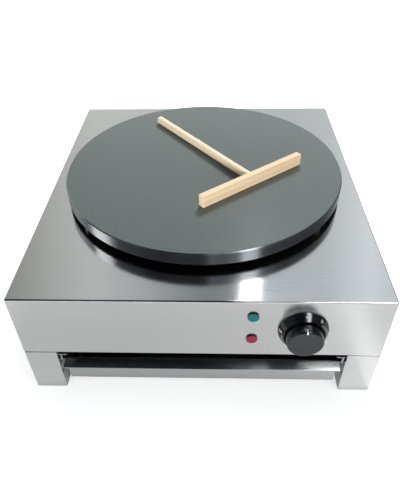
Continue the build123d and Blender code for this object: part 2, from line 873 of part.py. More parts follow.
def dial_ring():
    """Fixed bezel: a crowned sloping ring with a floor behind the knob."""
    foot = (dial_radius, dial_foot)
    lip = (dial_front_radius, dial_depth)
    slope = Vector(lip[0] - foot[0], lip[1] - foot[1])
    outwards = Vector(slope.Y, -slope.X).normalized()
    crown = Vector((foot[0] + lip[0]) / 2, (foot[1] + lip[1]) / 2) + outwards * dial_bulge
    edges = [
        Line((0, 0), (dial_radius, 0)),
        Line((dial_radius, 0), foot),
        ThreePointArc(foot, (crown.X, crown.Y), lip),
        Line(lip, (dial_mouth_radius, dial_depth)),
        Line((dial_mouth_radius, dial_depth), (dial_mouth_radius, dial_floor)),
        Line((dial_mouth_radius, dial_floor), (0, dial_floor)),
        Line((0, dial_floor), (0, 0)),
    ]
    profile = make_face(Wire([curve.edge() for curve in edges]))
    dial = revolve(Plane.XZ * profile, Axis.Z)
    dial -= rod(nose_radius + through_clearance, -over, dial_floor + over)
    hole = rod(small_screw_radius + through_clearance, -over, dial_floor + over)
    dial -= [Pos(x, 0, 0) * hole for x in thermostat_screw_rows()]
    return control_place * dial


def control_knob():
    """Moulded knob: a hollow cup with a D-bored hub, ribs behind and a shallow dish in front."""
    cup = turned([
        (0, knob_start), (knob_radius, knob_start), (knob_front_radius, knob_reach), (0, knob_reach),
    ])
    cup = fillet(rims(cup, knob_front_radius, knob_reach), knob_edge)
    ceiling = knob_reach - knob_face
    cup -= rod(knob_front_radius - knob_wall, knob_start - over, ceiling)
    hub = rod(hub_radius, knob_start, ceiling)
    rib = block(
        (hub_radius - over, -knob_rib / 2, ceiling - knob_rib_height),
        (knob_front_radius - knob_wall / 2, knob_rib / 2, ceiling),
    )
    knob = cup + hub
    knob += [Rot(0, 0, i * 360 / rib_count) * rib for i in range(rib_count)]
    sphere = (knob_dish_radius**2 + knob_dish**2) / (2 * knob_dish)
    knob -= Pos(0, 0, knob_reach - knob_dish + sphere) * Sphere(sphere)
    flat_low = spindle_reach - spindle_flat_length
    bore = flatted_rod(
        spindle_radius + thread_clearance, knob_start - over,
        spindle_reach + contact_gap, flat_low + contact_gap,
    )
    return control_place * (knob - bore)


# ---------------------------------------------------------------- pilot lamps
def lamp_lens(colour):
    """Flat-faced lens that plugs into its lamp."""
    lens = rod(lens_radius, 0, lens_reach)
    lens = fillet(rims(lens, lens_radius, lens_reach), lens_edge)
    lens += rod(lens_plug_radius, -lens_plug_depth, 0)
    return lamp_places[colour] * lens


def lamp_case(colour):
    """Barrel through the panel, with two blades behind."""
    lamp = rod(lamp_radius, -lamp_depth, 0)
    lamp -= rod(lens_plug_radius + thread_clearance, -lens_plug_depth - stop_gap, over)
    blade = block(
        (-lamp_blade_width / 2, -blade_thickness / 2, -lamp_depth - lamp_blade_length),
        (lamp_blade_width / 2, blade_thickness / 2, -lamp_depth),
    )
    lamp += [Pos(0, y, 0) * blade for y in (-lamp_blade_spacing / 2, lamp_blade_spacing / 2)]
    return lamp_places[colour] * lamp


def lamp_nuts():
    nut = hexagon(lamp_nut_flats, -sheet - lamp_nut_height, -sheet)
    nut -= rod(lamp_radius + thread_clearance, -sheet - lamp_nut_height - over, over)
    return group([place * nut for place in lamp_places.values()])


# ---------------------------------------------------------------- mains entry
def gland_body():
    """Threaded body through the back panel, with a hexagonal flange outside."""
    body = rod(gland_thread_radius, -sheet - gland_tail, 0)
    body += hexagon(gland_flats, 0, gland_flange)
    body += rod(gland_neck_radius, gland_flange, gland_neck)
    body -= rod(gland_passage, -sheet - gland_tail - over, gland_neck + over)
    seal_seat = gland_neck + gland_seal_stand - gland_seal_length
    seal_radius = gland_cord_radius + gland_seal_wall
    body -= rod(seal_radius + thread_clearance, seal_seat, gland_neck + over)
    return gland_place * body


def gland_seal():
    """Rubber sleeve that the dome nut squeezes onto the cord."""
    top = gland_neck + gland_seal_stand
    seal = ring(gland_cord_radius + gland_seal_wall, gland_cord_radius, top - gland_seal_length, top)
    return gland_place * seal


def gland_nut():
    """Dome nut: flats at its foot and a crowned nose."""
    low = gland_flange + contact_gap
    foot = gland_flats / 2 - gland_nut_step
    middle = (foot - gland_nut_draw, (gland_nut_hex + gland_reach) / 2 + gland_nut_crown)
    edges = [
        Line((0, low), (foot, low)),
        Line((foot, low), (foot, gland_nut_hex)),
        ThreePointArc((foot, gland_nut_hex), middle, (gland_mouth_radius, gland_reach)),
        Line((gland_mouth_radius, gland_reach), (0, gland_reach)),
        Line((0, gland_reach), (0, low)),
    ]
    nut = revolve(Plane.XZ * make_face(Wire([curve.edge() for curve in edges])), Axis.Z)
    nut += hexagon(gland_flats, low, gland_nut_hex)
    seal_top = gland_neck + gland_seal_stand
    nut -= rod(gland_neck_radius + thread_clearance, low - over, seal_top + contact_gap)
    nut -= rod(gland_passage, low, gland_reach + over)
    return gland_place * nut


def gland_locknut():
    nut = hexagon(locknut_flats, -sheet - locknut_height, -sheet)
    nut -= rod(gland_thread_radius + thread_clearance, -sheet - locknut_height - over, 0)
    return gland_place * nut


def block_way_places():
    reach = block_pitch * (block_ways - 1) / 2
    return spread(block_x - reach, block_x + reach, block_ways)


def terminal_block():
    """Moulded block on the base panel: one wire way and two clamping screws for each core."""
    low = base_top
    body = block(
        (block_x - block_width / 2, block_y - block_depth / 2, low),
        (block_x + block_width / 2, block_y + block_depth / 2, low + block_height),
    )
    body = fillet(body.edges().filter_by(Axis.Z), block_corner)
    way = Rot(90, 0, 0) * rod(block_wire_hole, -block_depth / 2 - over, block_depth / 2 + over)
    body -= [Pos(x, block_y, low + block_height / 2) * way for x in block_way_places()]
    well = rod(block_screw_radius + contact_gap, block_screw_low(), low + block_height + over)
    return body - [Pos(x, y, 0) * well for x, y in block_screw_places()]


def block_screw_places():
    rows = (block_y - block_depth / 4, block_y + block_depth / 4)
    return [(x, y) for x in block_way_places() for y in rows]


def block_screw_low():
    return base_top + block_height / 2 + block_floor


def terminal_screws():
    one = rod(block_screw_radius, block_screw_low(), base_top + block_height - block_screw_sink)
    return group([Pos(x, y, 0) * one for x, y in block_screw_places()])


def earth_stud():
    """Stud welded to the base panel, with a washer under each of its two nuts."""
    stud = rod(stud_radius, base_top, base_top + earth_stud_height)
    pieces = [stud]
    for low in (0.0, washer_thickness + nut_height):
        seat = low + washer_thickness
        washer = ring(washer_radius, stud_radius + through_clearance, low, seat)
        nut = hexagon(nut_across_flats, seat, seat + nut_height)
        nut -= rod(stud_radius + thread_clearance, low, seat + nut_height + over)
        pieces += [Pos(0, 0, base_top) * washer, Pos(0, 0, base_top) * nut]
    return group([Pos(earth_x, earth_y, 0) * piece for piece in pieces])


# ---------------------------------------------------------------- drawer
def drawer_tray():
    """Shallow folded tray whose side flanges run in the runners and carry the stop lugs."""
    outer = block((-tray_half, tray_front, tray_bottom), (tray_half, tray_back, flange_top))
    outer = fillet(outer.edges().filter_by(Axis.Z) + outer.edges().group_by(Axis.Z)[0], tray_corner)
    inner = block(
        (sheet - tray_half, tray_front + sheet, tray_bottom + sheet),
        (tray_half - sheet, tray_back - sheet, flange_top + over),
    )
    low_edges = inner.edges().group_by(Axis.Z)[0]
    inner = fillet(inner.edges().filter_by(Axis.Z) + low_edges, tray_corner - sheet)
    tray = outer
    for turn in (1, -1):
        x_near, x_far = sorted((turn * (tray_half - sheet), turn * flange_half))
        tray += block(
            (x_near, tray_front + tray_corner, flange_bottom), (x_far, tray_back, flange_top)
        )
        x_near, x_far = sorted((turn * (leg_inner_x - runner_width), turn * flange_half))
        tray += block(
            (x_near, lug_y, flange_bottom), (x_far, lug_y + lug_thickness, flange_bottom + lug_height)
        )
    return tray - inner


def drawer_front():
    """Face and handle in one folded strip: a return below, and a hemmed lip that leans forward."""
    mid = sheet / 2
    face_mid = face_y + mid
    top = drawer_lift + face_height - mid
    lip_y = face_y - lip_reach + hem_radius + mid
    lip_z = top - lip_drop
    along = Vector(lip_y - face_mid, lip_z - top).normalized()
    below = Vector(-along.Y, along.X)
    hem_turn = Vector(lip_y, lip_z) + below * hem_radius + along * hem_radius
    hem_start = Vector(lip_y, lip_z) + below * (2 * hem_radius)
    hem_end = hem_start - along * hem_length
    strip = FilletPolyline(
        (face_mid + face_return, drawer_lift + mid), (face_mid, drawer_lift + mid),
        (face_mid, top), (lip_y, lip_z), radius=bend - mid,
    )
    hem = ThreePointArc((lip_y, lip_z), (hem_turn.X, hem_turn.Y), (hem_start.X, hem_start.Y))
    tail = Line((hem_start.X, hem_start.Y), (hem_end.X, hem_end.Y))
    section = trace(Wire(strip.edges() + hem.edges() + tail.edges()), line_width=sheet)
    return extrude(Plane.YZ * section, tray_half + front_overhang, both=True)


def right_runner():
    """Channel on the leg's inner wall, with a stop at its back end and one for the open drawer."""
    low_x = leg_inner_x - runner_width
    web_x = leg_inner_x - runner_sheet
    runner = block((low_x, runner_front, runner_low), (leg_inner_x, runner_back, runner_top))
    hollow = block(
        (low_x - over, runner_front - over, runner_low + runner_sheet),
        (web_x, runner_back - runner_sheet, runner_top - runner_sheet),
    )
    runner -= hollow
    stop_y = lug_y - drawer_travel - stop_gap
    stop_low = flange_top + 2 * slide_gap
    runner += block(
        (low_x, stop_y - runner_sheet, stop_low), (web_x, stop_y, runner_top - runner_sheet)
    )
    hole = Rot(0, 90, 0) * rod(rivet_radius + contact_gap, -runner_sheet - over, over)
    return runner - [Pos(leg_inner_x, y, rivet_z()) * hole for y in rivet_rows()]


def runner_rivets():
    """Flat-headed rivets through each runner's web and its leg, headed over inside the leg."""
    head = rod(rivet_head, 0, rivet_head_height)
    rivet = chamfer(head.edges().group_by(Axis.Z)[-1], rivet_edge)
    inside = -runner_sheet - sheet
    rivet += rod(rivet_radius, inside, 0)
    rivet += rod(rivet_tail, inside - rivet_head_height, inside)
    rivets = []
    for turn in (1, -1):
        place = Rot(0, -90 * turn, 0)
        x = turn * (leg_inner_x - runner_sheet)
        rivets += [Pos(x, y, rivet_z()) * place * rivet for y in rivet_rows()]
    return group(rivets)


# ---------------------------------------------------------------- spreader
def spreader_place():
    """The bar's lower back edge and the handle's end rest on the hotplate, so the tool leans."""
    lean = degrees(asin((bar_height / 2 - handle_radius) / handle_reach))
    turned_about = Rot(0, 0, spreader_angle) * Rot(-lean, 0, 0)
    return Pos(spreader_x, spreader_y, plate_top + spreader_gap) * turned_about


def handle_axis():
    return Pos(0, 0, bar_height / 2) * Rot(-90, 0, 0)


def spreader_bar():
    bar = block((-bar_length / 2, -bar_thickness, 0), (bar_length / 2, 0, bar_height))
    bar = chamfer(bar.edges(), bar_edge)
    socket = handle_axis() * rod(handle_radius + glue_gap, -handle_socket - glue_gap, over)
    return spreader_place() * (bar - socket)


def spreader_handle():
    """Dowel glued into the bar, rounded at its free end."""
    dowel = rod(handle_radius, -handle_socket, handle_reach)
    dowel = fillet(rims(dowel, handle_radius, handle_reach), handle_end)
    return spreader_place() * handle_axis() * dowel


# ---------------------------------------------------------------- leads
def blade_end(index):
    """Tip of one of the thermostat's blades."""
    x = (-blade_spacing / 2, blade_spacing / 2)[index]
    depth = -sheet - thermostat_plate - thermostat_depth - blade_length
    return (control_place * Pos(x, 0, depth)).position


def lamp_blade_end(colour, index):
    """Tip of one of a lamp's blades."""
    y = (-lamp_blade_spacing / 2, lamp_blade_spacing / 2)[index]
    return (lamp_places[colour] * Pos(0, y, -lamp_depth - lamp_blade_length)).position


def pin_end(index):
    """Lower end of one of the four element pins."""
    x, y = element_legs()[index]
    return Vector(x, y, element_end - pin_length)


def way_mouth(index):
    """Front mouth of one of the terminal block's ways."""
    return Vector(block_way_places()[index], block_y - block_depth / 2, base_top + block_height / 2)


def live_lead():
    """From the terminal block, low across the base panel, to the thermostat."""
    start = way_mouth(0)
    end = blade_end(0)
    low = base_top + lead_level
    return bent_tube([
        start, start - Vector(0, lead_bend, 0), (start.X + lead_bend, start.Y - 3 * lead_bend, low),
        (end.X - 3 * lead_bend, end.Y + 5 * lead_bend, low),
        (end.X, end.Y + 2.5 * lead_bend, low + lead_level),
        (end.X, end.Y + lead_bend, end.Z), end,
    ], lead_radius, lead_bend)


def switched_lead():
    """From the thermostat to the outer element, below the heat pan."""
    start = blade_end(1)
    end = pin_end(0)
    low = base_top + 2 * lead_level
    return bent_tube([
        start, start + Vector(0, lead_bend, 0), (start.X, start.Y + 3 * lead_bend, low),
        (end.X + lead_bend, end.Y - 2 * lead_bend, low), (end.X, end.Y, end.Z - lead_bend), end,
    ], lead_radius, lead_bend)


def neutral_lead():
    """From the terminal block to the outer element's other end."""
    start = way_mouth(1)
    end = pin_end(1)
    low = base_top + 2 * lead_level
    return bent_tube([
        start, start - Vector(0, lead_bend, 0), (start.X + lead_bend, start.Y - 2 * lead_bend, low),
        (end.X, end.Y, low), end,
    ], lead_radius, lead_bend)


def element_links():
    """Two short links that join the inner element to the outer one."""
    links = []
    seat = Vector(0, pin_radius + contact_gap, 0)
    lift = Vector(0, 0, pin_length / 3)
    reach = Vector(0, 1.5 * link_bend, 0)
    for outer_pin, inner_pin in ((0, 2), (1, 3)):
        start = pin_end(outer_pin) + lift - seat
        end = pin_end(inner_pin) + lift + seat
        sagging = (start + end) / 2 - Vector(0, 0, link_sag)
        links.append(bent_tube(
            [start, start - reach, sagging, end + reach, end], lead_radius, link_bend
        ))
    return group(links)


def earth_lead():
    """From the terminal block to the earth stud, clamped between its two nuts."""
    start = way_mouth(2) + Vector(0, block_depth, 0)
    high = base_top + washer_thickness + nut_height + washer_thickness / 2
    end = Vector(earth_x + washer_radius, earth_y, high)
    half_bend = lead_bend / 2
    return bent_tube([
        start, start + Vector(0, half_bend, 0), (start.X - lead_bend, start.Y + half_bend, high),
        (end.X + 2 * lead_bend, end.Y + half_bend, high), (end.X + half_bend, end.Y, high), end,
    ], lead_radius, lead_bend)


def lamp_leads():
    """A thin lead from each lamp to a blade of the thermostat, and one between the lamps."""
    leads = []
    step = 2 * lamp_lead_bend
    for colour, blade in (("green", 0), ("red", 1)):
        start = lamp_blade_end(colour, 0)
        end = blade_end(blade) - Vector(0, blade_length / 2, blade_width / 2)
        low = end.Z - step - blade * lamp_lead_bend
        leads.append(bent_tube([
            start, start + Vector(0, step + blade * lamp_lead_bend, 0),
            (end.X - step, end.Y + step, low), (end.X, end.Y, low), end,
        ], lamp_lead_radius, lamp_lead_bend))
    upper = lamp_blade_end("green", 1)
    lower = lamp_blade_end("red", 1)
    aside = Vector(-step, 2 * step, 0)
    drop = Vector(0, 0, step)
    leads.append(bent_tube([
        upper, upper + Vector(0, 2 * step, 0), upper + aside - drop,
        lower + aside + drop / 2, lower + Vector(0, step, 0), lower,
    ], lamp_lead_radius, lamp_lead_bend))
    return group(leads)


# ---------------------------------------------------------------- all the nodes
def all_nodes():
    """Every node's name and its solid or loose solids."""
    corners = {
        "front_right": (leg_x, front + foot_inset),
        "back_right": (leg_x, back - foot_inset),
        "front_left": (-leg_x, front + foot_inset),
        "back_left": (-leg_x, back - foot_inset),
    }
    spacers = dict(zip(
        ("back_right", "back_left", "front_left", "front_right"),
        around(spacer_circle, spacer_angles),
    ))
    leg = right_leg()
    foot_plates = right_foot_plates()
    runner = right_runner()
    nodes = {
        "housing_shell": housing_shell(),
        "base_panel": base_panel(),
        "right_leg": leg,
        "left_leg": mirror(leg, about=Plane.YZ),
        "right_foot_plates": foot_plates,
        "left_foot_plates": mirror(foot_plates, about=Plane.YZ),
        "leg_screws": group([
            Pos(x, y, leg_top - sheet) * frame_screw() for x, y in leg_screw_places()
        ]),
        "base_screws": group([Pos(x, y, leg_top) * frame_screw() for x, y in base_screw_places()]),
    }
    for corner, (x, y) in corners.items():
        nodes[f"foot_{corner}"] = Pos(x, y, 0) * rubber_foot()
    nodes["hotplate"] = hotplate()
    for corner, (x, y) in spacers.items():
        nodes[f"plate_spacer_{corner}"] = Pos(x, y, 0) * plate_spacer()
    spacer_places = around(spacer_circle, spacer_angles)
    clamp_places = around(between_loops, clamp_angles)
    nodes |= {
        "plate_studs": group([Pos(x, y, 0) * plate_stud() for x, y in spacer_places]),
        "plate_nuts": group([
            Pos(x, y, pan_top - pan_sheet) * piece
            for x, y in spacer_places
            for piece in nut_and_washer(stud_radius, nut_across_flats, nut_height)
        ]),
        "outer_element": heating_element(outer_loop_radius),
        "inner_element": heating_element(inner_loop_radius),
        "element_beads": group([Pos(x, y, 0) * element_bead() for x, y in element_legs()]),
        "element_pins": group([Pos(x, y, 0) * element_pin() for x, y in element_legs()]),
        "element_clamp": element_clamp(),
        "clamp_studs": group([Pos(x, y, 0) * clamp_stud() for x, y in clamp_places]),
        "clamp_nuts": group([
            Pos(x, y, clamp_bottom) * piece
            for x, y in clamp_places
            for piece in nut_and_washer(stud_radius, nut_across_flats, nut_height)
        ]),
        "heat_pan": heat_pan(),
        "insulation_pad": insulation_pad(),
        "thermostat_case": thermostat_case(),
        "thermostat_blades": thermostat_blades(),
        "thermostat_screws": thermostat_screws(),
        "thermostat_spindle": thermostat_spindle(),
        "sensor_bulb": sensor_bulb(),
        "capillary_tube": capillary_tube(),
        "bulb_clip": bulb_clip(),
        "clip_screws": clip_screws(),
        "dial_ring": dial_ring(),
        "control_knob": control_knob(),
        "green_lens": lamp_lens("green"),
        "red_lens": lamp_lens("red"),
        "green_lamp": lamp_case("green"),
        "red_lamp": lamp_case("red"),
        "lamp_nuts": lamp_nuts(),
        "gland_body": gland_body(),
        "gland_seal": gland_seal(),
        "gland_nut": gland_nut(),
        "gland_locknut": gland_locknut(),
        "terminal_block": terminal_block(),
        "terminal_screws": terminal_screws(),
        "earth_stud": earth_stud(),
        "power_leads": group([live_lead(), switched_lead(), neutral_lead(), earth_lead()]),
        "element_links": element_links(),
        "lamp_leads": lamp_leads(),
        "drawer_tray": drawer_tray(),
        "drawer_front": drawer_front(),
        "right_runner": runner,
        "left_runner": mirror(runner, about=Plane.YZ),
        "runner_rivets": runner_rivets(),
        "spreader_bar": spreader_bar(),
        "spreader_handle": spreader_handle(),
    }
    return nodes


os.makedirs("parts", exist_ok=True)
for name, shape in all_nodes().items():
    export_step(Pos(0, row_shift, 0) * shape, f"parts/{name}.step")
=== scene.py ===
# %% [markdown]
# # Dressing an electric crepe maker
# The machine is a folded stainless-steel housing on two channel legs, with a round coated hotplate on
# top, a drawer underneath, a thermostat with two pilot lamps on the front and a beech batter spreader
# lying on the plate. Its solids arrive as a fixed frame. This lesson gives every solid the finish that
# the real part has, and adds the pieces that are printed on it.

# %% Load the solids
import json
import math

import bpy
import numpy as np
from mathutils import Matrix, Vector


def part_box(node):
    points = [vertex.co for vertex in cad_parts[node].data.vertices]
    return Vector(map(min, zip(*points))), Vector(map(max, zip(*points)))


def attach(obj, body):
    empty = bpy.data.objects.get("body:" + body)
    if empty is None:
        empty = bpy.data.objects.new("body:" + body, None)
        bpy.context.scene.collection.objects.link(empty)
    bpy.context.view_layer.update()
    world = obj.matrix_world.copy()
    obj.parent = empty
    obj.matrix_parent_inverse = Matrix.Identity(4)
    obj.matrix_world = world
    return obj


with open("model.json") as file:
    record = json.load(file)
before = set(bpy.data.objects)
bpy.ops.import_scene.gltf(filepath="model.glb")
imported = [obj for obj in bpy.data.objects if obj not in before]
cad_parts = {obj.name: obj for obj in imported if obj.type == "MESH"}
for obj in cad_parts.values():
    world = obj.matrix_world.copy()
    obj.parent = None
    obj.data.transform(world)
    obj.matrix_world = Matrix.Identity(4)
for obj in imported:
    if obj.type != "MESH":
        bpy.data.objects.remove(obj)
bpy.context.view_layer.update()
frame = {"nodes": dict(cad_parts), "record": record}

nodes = frame["nodes"]

# %% [markdown]
# ## The camera
# The machine stands on a worktop and is seen by someone standing in front of it, a little above it and
# almost in line with its middle. A camera could be aimed with a Track To constraint, but building its
# matrix from three angles keeps the picture still when anything else changes.

# %% Place the camera
CAMERA_PLACE = Vector((0.018218, -0.627332, 0.577966))
CAMERA_DOWN, CAMERA_LEFT, CAMERA_ROLL = (math.radians(a) for a in (41.012, 2.385, 1.302))

ahead = Vector((-math.sin(CAMERA_LEFT) * math.cos(CAMERA_DOWN),
                math.cos(CAMERA_LEFT) * math.cos(CAMERA_DOWN), -math.sin(CAMERA_DOWN)))
level_right = Vector((math.cos(CAMERA_LEFT), math.sin(CAMERA_LEFT), 0))
level_down = ahead.cross(level_right)
right = level_right * math.cos(CAMERA_ROLL) + level_down * math.sin(CAMERA_ROLL)
down = level_down * math.cos(CAMERA_ROLL) - level_right * math.sin(CAMERA_ROLL)

camera_data = bpy.data.cameras.new("camera")
camera_data.lens, camera_data.sensor_width = 35.117, 36.0
camera = bpy.data.objects.new("camera", camera_data)
camera.matrix_world = Matrix((right, -down, -ahead)).transposed().to_4x4()
camera.location = CAMERA_PLACE
bpy.context.scene.collection.objects.link(camera)
bpy.context.scene.camera = camera
print("the camera stands", round(CAMERA_PLACE.length, 2), "m from the middle of the worktop")

# %% [markdown]
# ## Two small tools for materials
# A finish is a short network of nodes. One function adds a node with its settings and links, and one
# turns a colour from a colour picker, which is stored for a screen, into the plain amount of light that
# a shader works with.


# %% Colours and nodes
def colour(hex_value):
    """A shader colour from an sRGB hex value: each channel c becomes c/12.92 where it is very dark, and
    elsewhere ((c + 0.055) / 1.055) to the power 2.4."""
    channels = [int(hex_value[i:i + 2], 16) / 255 for i in (1, 3, 5)]
    return tuple(c / 12.92 if c <= 0.04045 else ((c + 0.055) / 1.055) ** 2.4 for c in channels) + (1.0,)


def add(tree, kind, inputs=None, **settings):
    """Adds one node, with its own settings, and sets or links the sockets named in inputs."""
    made = tree.nodes.new("ShaderNode" + kind)
    for name, value in settings.items():
        setattr(made, name, value)
    for name, value in (inputs or {}).items():
        if isinstance(value, bpy.types.NodeSocket):
            tree.links.new(value, made.inputs[name])
        else:
            made.inputs[name].default_value = value
    return made


def tones(tree, value, *stops):
    """A ramp of colours through (place, sRGB hex) stops."""
    ramp = add(tree, "ValToRGB", {0: value})
    elements = ramp.color_ramp.elements
    while len(elements) < len(stops):
        elements.new(0.5)
    for element, (place, hex_value) in zip(elements, stops):
        element.position, element.color = place, colour(hex_value)
    return ramp.outputs[0]


def new_finish(name):
    """An empty material and its node tree."""
    made = bpy.data.materials.new(name)
    made.use_nodes = True
    made.node_tree.nodes.clear()
    return made, made.node_tree


def ray_kinds(tree):
    """Two sockets: 1 where a ray comes straight from the camera, and 1 where it was mirrored or bent."""
    path = add(tree, "LightPath")
    mirrored = add(tree, "Math", {0: path.outputs["Is Glossy Ray"], 1: path.outputs["Is Transmission Ray"]},
                   operation="MAXIMUM")
    return path.outputs["Is Camera Ray"], mirrored.outputs[0]


def from_axis(tree, coords, x, z):
    """Each point's vector from the axis that runs along Y through x and z, with nothing along Y."""
    return add(tree, "Mapping", {"Vector": coords.outputs["Object"], "Location": (-x, 0, -z),
                                 "Scale": (1, 0, 1)}).outputs[0]


MM = 0.001
print("mid grey is", round(colour("#808080")[0], 3), "of white in plain light")

# %% [markdown]
# ## Worktop and light
# Brushed steel looks like whatever stands round it, so the light is planned from its highlights. A
# narrow strip behind and above gives the streak in front of the plate, and a small key at the front
# right a soft patch on the panel. A softbox overhead, which only shiny things see, gives the dial its
# highlight, and one at the left, like a window, draws the bright arc on the plate's rim. The strongest
# lamps are never mirrored: one behind casts the spreader's soft shadow forwards, and a low fill from
# the front lifts the upright faces.
#
# The room that the metal reflects is bright behind the machine and dark above and in front of it, which
# gives the fold at the top of the panel and the drawer's lip their dark lines. A dark card hangs to the
# left of the strip, and the wall to its right glows.
#
# The worktop is a white sweep. The camera sees it lit from within except close round the machine, where
# only the lamps light it and its soft shadows show. In reflections it shows a painted glow, brighter on
# the right than on the left, and painted shade under the machine. It bounces only its plain diffuse
# light on to the object.

# %% Worktop
HALF_WIDTH, HALF_DEPTH = 0.225, 0.250  # of the housing; the glow is measured in these from its middle
worktop_mesh = bpy.data.meshes.new("worktop")
reach = 8.0
worktop_mesh.from_pydata([(-reach, -reach, 0), (reach, -reach, 0), (reach, reach, 0), (-reach, reach, 0)],
                         [], [(0, 1, 2, 3)])
worktop = bpy.data.objects.new("worktop", worktop_mesh)
bpy.context.scene.collection.objects.link(worktop)

sweep, tree = new_finish("white_paper_sweep")
from_camera, mirrored = ray_kinds(tree)
seen = add(tree, "Math", {0: from_camera, 1: mirrored}, operation="MAXIMUM")
place = add(tree, "TexCoord").outputs["Object"]
outwards = add(tree, "VectorMath", {0: place, 1: (1 / HALF_WIDTH, 1 / HALF_DEPTH, 0)},
               operation="MULTIPLY")
outwards = add(tree, "VectorMath", {0: outwards.outputs[0]}, operation="ABSOLUTE")
outwards = add(tree, "SeparateXYZ", {0: outwards.outputs[0]})
outwards = add(tree, "Math", {0: outwards.outputs["X"], 1: outwards.outputs["Y"]}, operation="MAXIMUM")
across = add(tree, "SeparateXYZ", {0: place})
open_glow = add(tree, "MapRange", {"Value": outwards.outputs[0], "From Min": 1.05, "From Max": 1.6,
                                   "To Min": 0.46, "To Max": 0.78}, interpolation_type="SMOOTHSTEP")
along = add(tree, "MapRange", {"Value": across.outputs["X"], "From Min": -0.5, "From Max": 0.5})
# Painted light in reflections: the worktop glows brighter to the right of the machine
side_glow = tones(tree, along.outputs[0], (0.40, "#a4a4a4"), (0.60, "#bebebe"), (0.74, "#ececec"),
                  (0.775, "#989898"))
# Painted shade in reflections: no glow under the machine, full glow just outside it, a little less further
# out
painted_shade_under_machine = add(tree, "Math", {0: outwards.outputs[0], 1: 0.5}, operation="MULTIPLY")
painted_shade_under_machine = tones(tree, painted_shade_under_machine.outputs[0], (0.485, "#000000"), (0.515, "#ffffff"), (0.62, "#eaeaea"),
             (0.80, "#d2d2d2"))
side_glow = add(tree, "Math", {0: side_glow, 1: painted_shade_under_machine}, operation="MULTIPLY")
level = add(tree, "Mix", {0: mirrored, 2: open_glow.outputs[0], 3: side_glow.outputs[0]},
            data_type="FLOAT")
glow = add(tree, "Emission", {"Color": colour("#ffffff"), "Strength": level.outputs[0]})
paper = add(tree, "BsdfDiffuse", {"Color": colour("#eeeeee")})
lit = add(tree, "AddShader", {0: glow.outputs[0], 1: paper.outputs[0]})
plain = add(tree, "BsdfDiffuse", {"Color": colour("#e7e7e7")})
both = add(tree, "MixShader", {0: seen.outputs[0], 1: plain.outputs[0], 2: lit.outputs[0]})
add(tree, "OutputMaterial", {"Surface": both.outputs[0]})
sweep.cycles.emission_sampling = "NONE"
worktop_mesh.materials.append(sweep)
print("worktop", 2 * reach, "m across")


# %% Lamps
def softbox(name, place, aim, size, watts, hex_value="#ffffff"):
    """A rectangular lamp at place that faces aim. Its height is kept as level as it can be."""
    data = bpy.data.lights.new(name, "AREA")
    data.shape, data.size, data.size_y, data.energy = "RECTANGLE", size[0], size[1], watts
    data.color = colour(hex_value)[:3]
    lamp = bpy.data.objects.new(name, data)
    lamp.location = place
    lamp.rotation_euler = (Vector(aim) - Vector(place)).to_track_quat("-Z", "Y").to_euler()
    bpy.context.scene.collection.objects.link(lamp)
    return lamp


softbox("key_softbox", (0.74, -0.98, 1.18), (0.05, 0.0, 0.12), (0.30, 0.36), 1.9, "#fbfdff")
overhead = softbox("top_softbox", (0.435, -0.510, 0.971), (0.129, -0.265, 0.152), (0.40, 0.18), 3.2)
overhead.visible_diffuse = False
softbox("back_strip", (0.143, 0.62, 1.25), (0.04, -0.10, 0.17), (0.065, 0.70), 1.15)
window = softbox("left_window", (-1.30, -0.05, 1.12), (-0.13, -0.155, 0.19), (0.45, 0.32), 2.5)
window.visible_diffuse = False
back_light = softbox("back_light", (0.28, 0.92, 1.12), (0.0, 0.0, 0.2), (0.34, 0.28), 20.0)
back_light.visible_glossy = False
front_fill = softbox("front_fill", (-0.25, -1.70, 0.40), (0.0, 0.0, 0.15), (1.2, 0.5), 28.0)
front_fill.visible_glossy = False

# %% World
world = bpy.data.worlds.new("studio")
bpy.context.scene.world = world
world.use_nodes = True
tree = world.node_tree
tree.nodes.clear()
from_camera, mirrored = ray_kinds(tree)
direction = add(tree, "TexCoord").outputs["Generated"]
split = add(tree, "SeparateXYZ", {0: direction})
arc = add(tree, "Math", {0: split.outputs["Z"], 1: split.outputs["Y"]}, operation="ARCTAN2")
arc = add(tree, "Math", {0: arc.outputs[0], 1: 1 / math.pi}, operation="MULTIPLY")

# From the horizon behind the machine (0), over the top (0.5), to the horizon in front of it (1)
over = tones(tree, arc.outputs[0], (0.0, "#fcfef9"), (0.28, "#eef3f8"), (0.35, "#9aa4b0"), (0.41, "#383c44"),
             (0.55, "#33373f"), (0.80, "#484d57"), (0.93, "#8c9098"), (1.0, "#dcdddd"))
side = add(tree, "MapRange", {"Value": split.outputs["X"], "From Min": -1.0, "From Max": 1.0}).outputs[0]
walls = tones(tree, side, (0.18, "#e8e8e4"), (0.24, "#b9b8b2"), (0.275, "#a19f98"), (0.30, "#aeaba4"),
              (0.315, "#bbb8b1"), (0.345, "#d2d1cb"), (0.385, "#e2e2dd"), (0.57, "#d8d9d9"),
              (0.61, "#dfe0e0"), (0.65, "#ffffff"), (0.70, "#d8d9d9"), (0.78, "#b0b1b2"), (0.85, "#858687"))
spill = tones(tree, side, (0.14, "#747474"), (0.20, "#585858"), (0.28, "#000000"), (0.52, "#000000"),
              (0.58, "#8a8a8a"), (0.63, "#c0c0c0"), (0.68, "#b8b8b8"), (0.76, "#787878"), (0.80, "#c8c8c8"))
over = add(tree, "Mix", {0: spill, 6: over, 7: colour("#f6faff")}, data_type="RGBA")
seen = add(tree, "Mix", {0: 1.0, 6: over.outputs[2], 7: walls}, data_type="RGBA", blend_type="MULTIPLY")

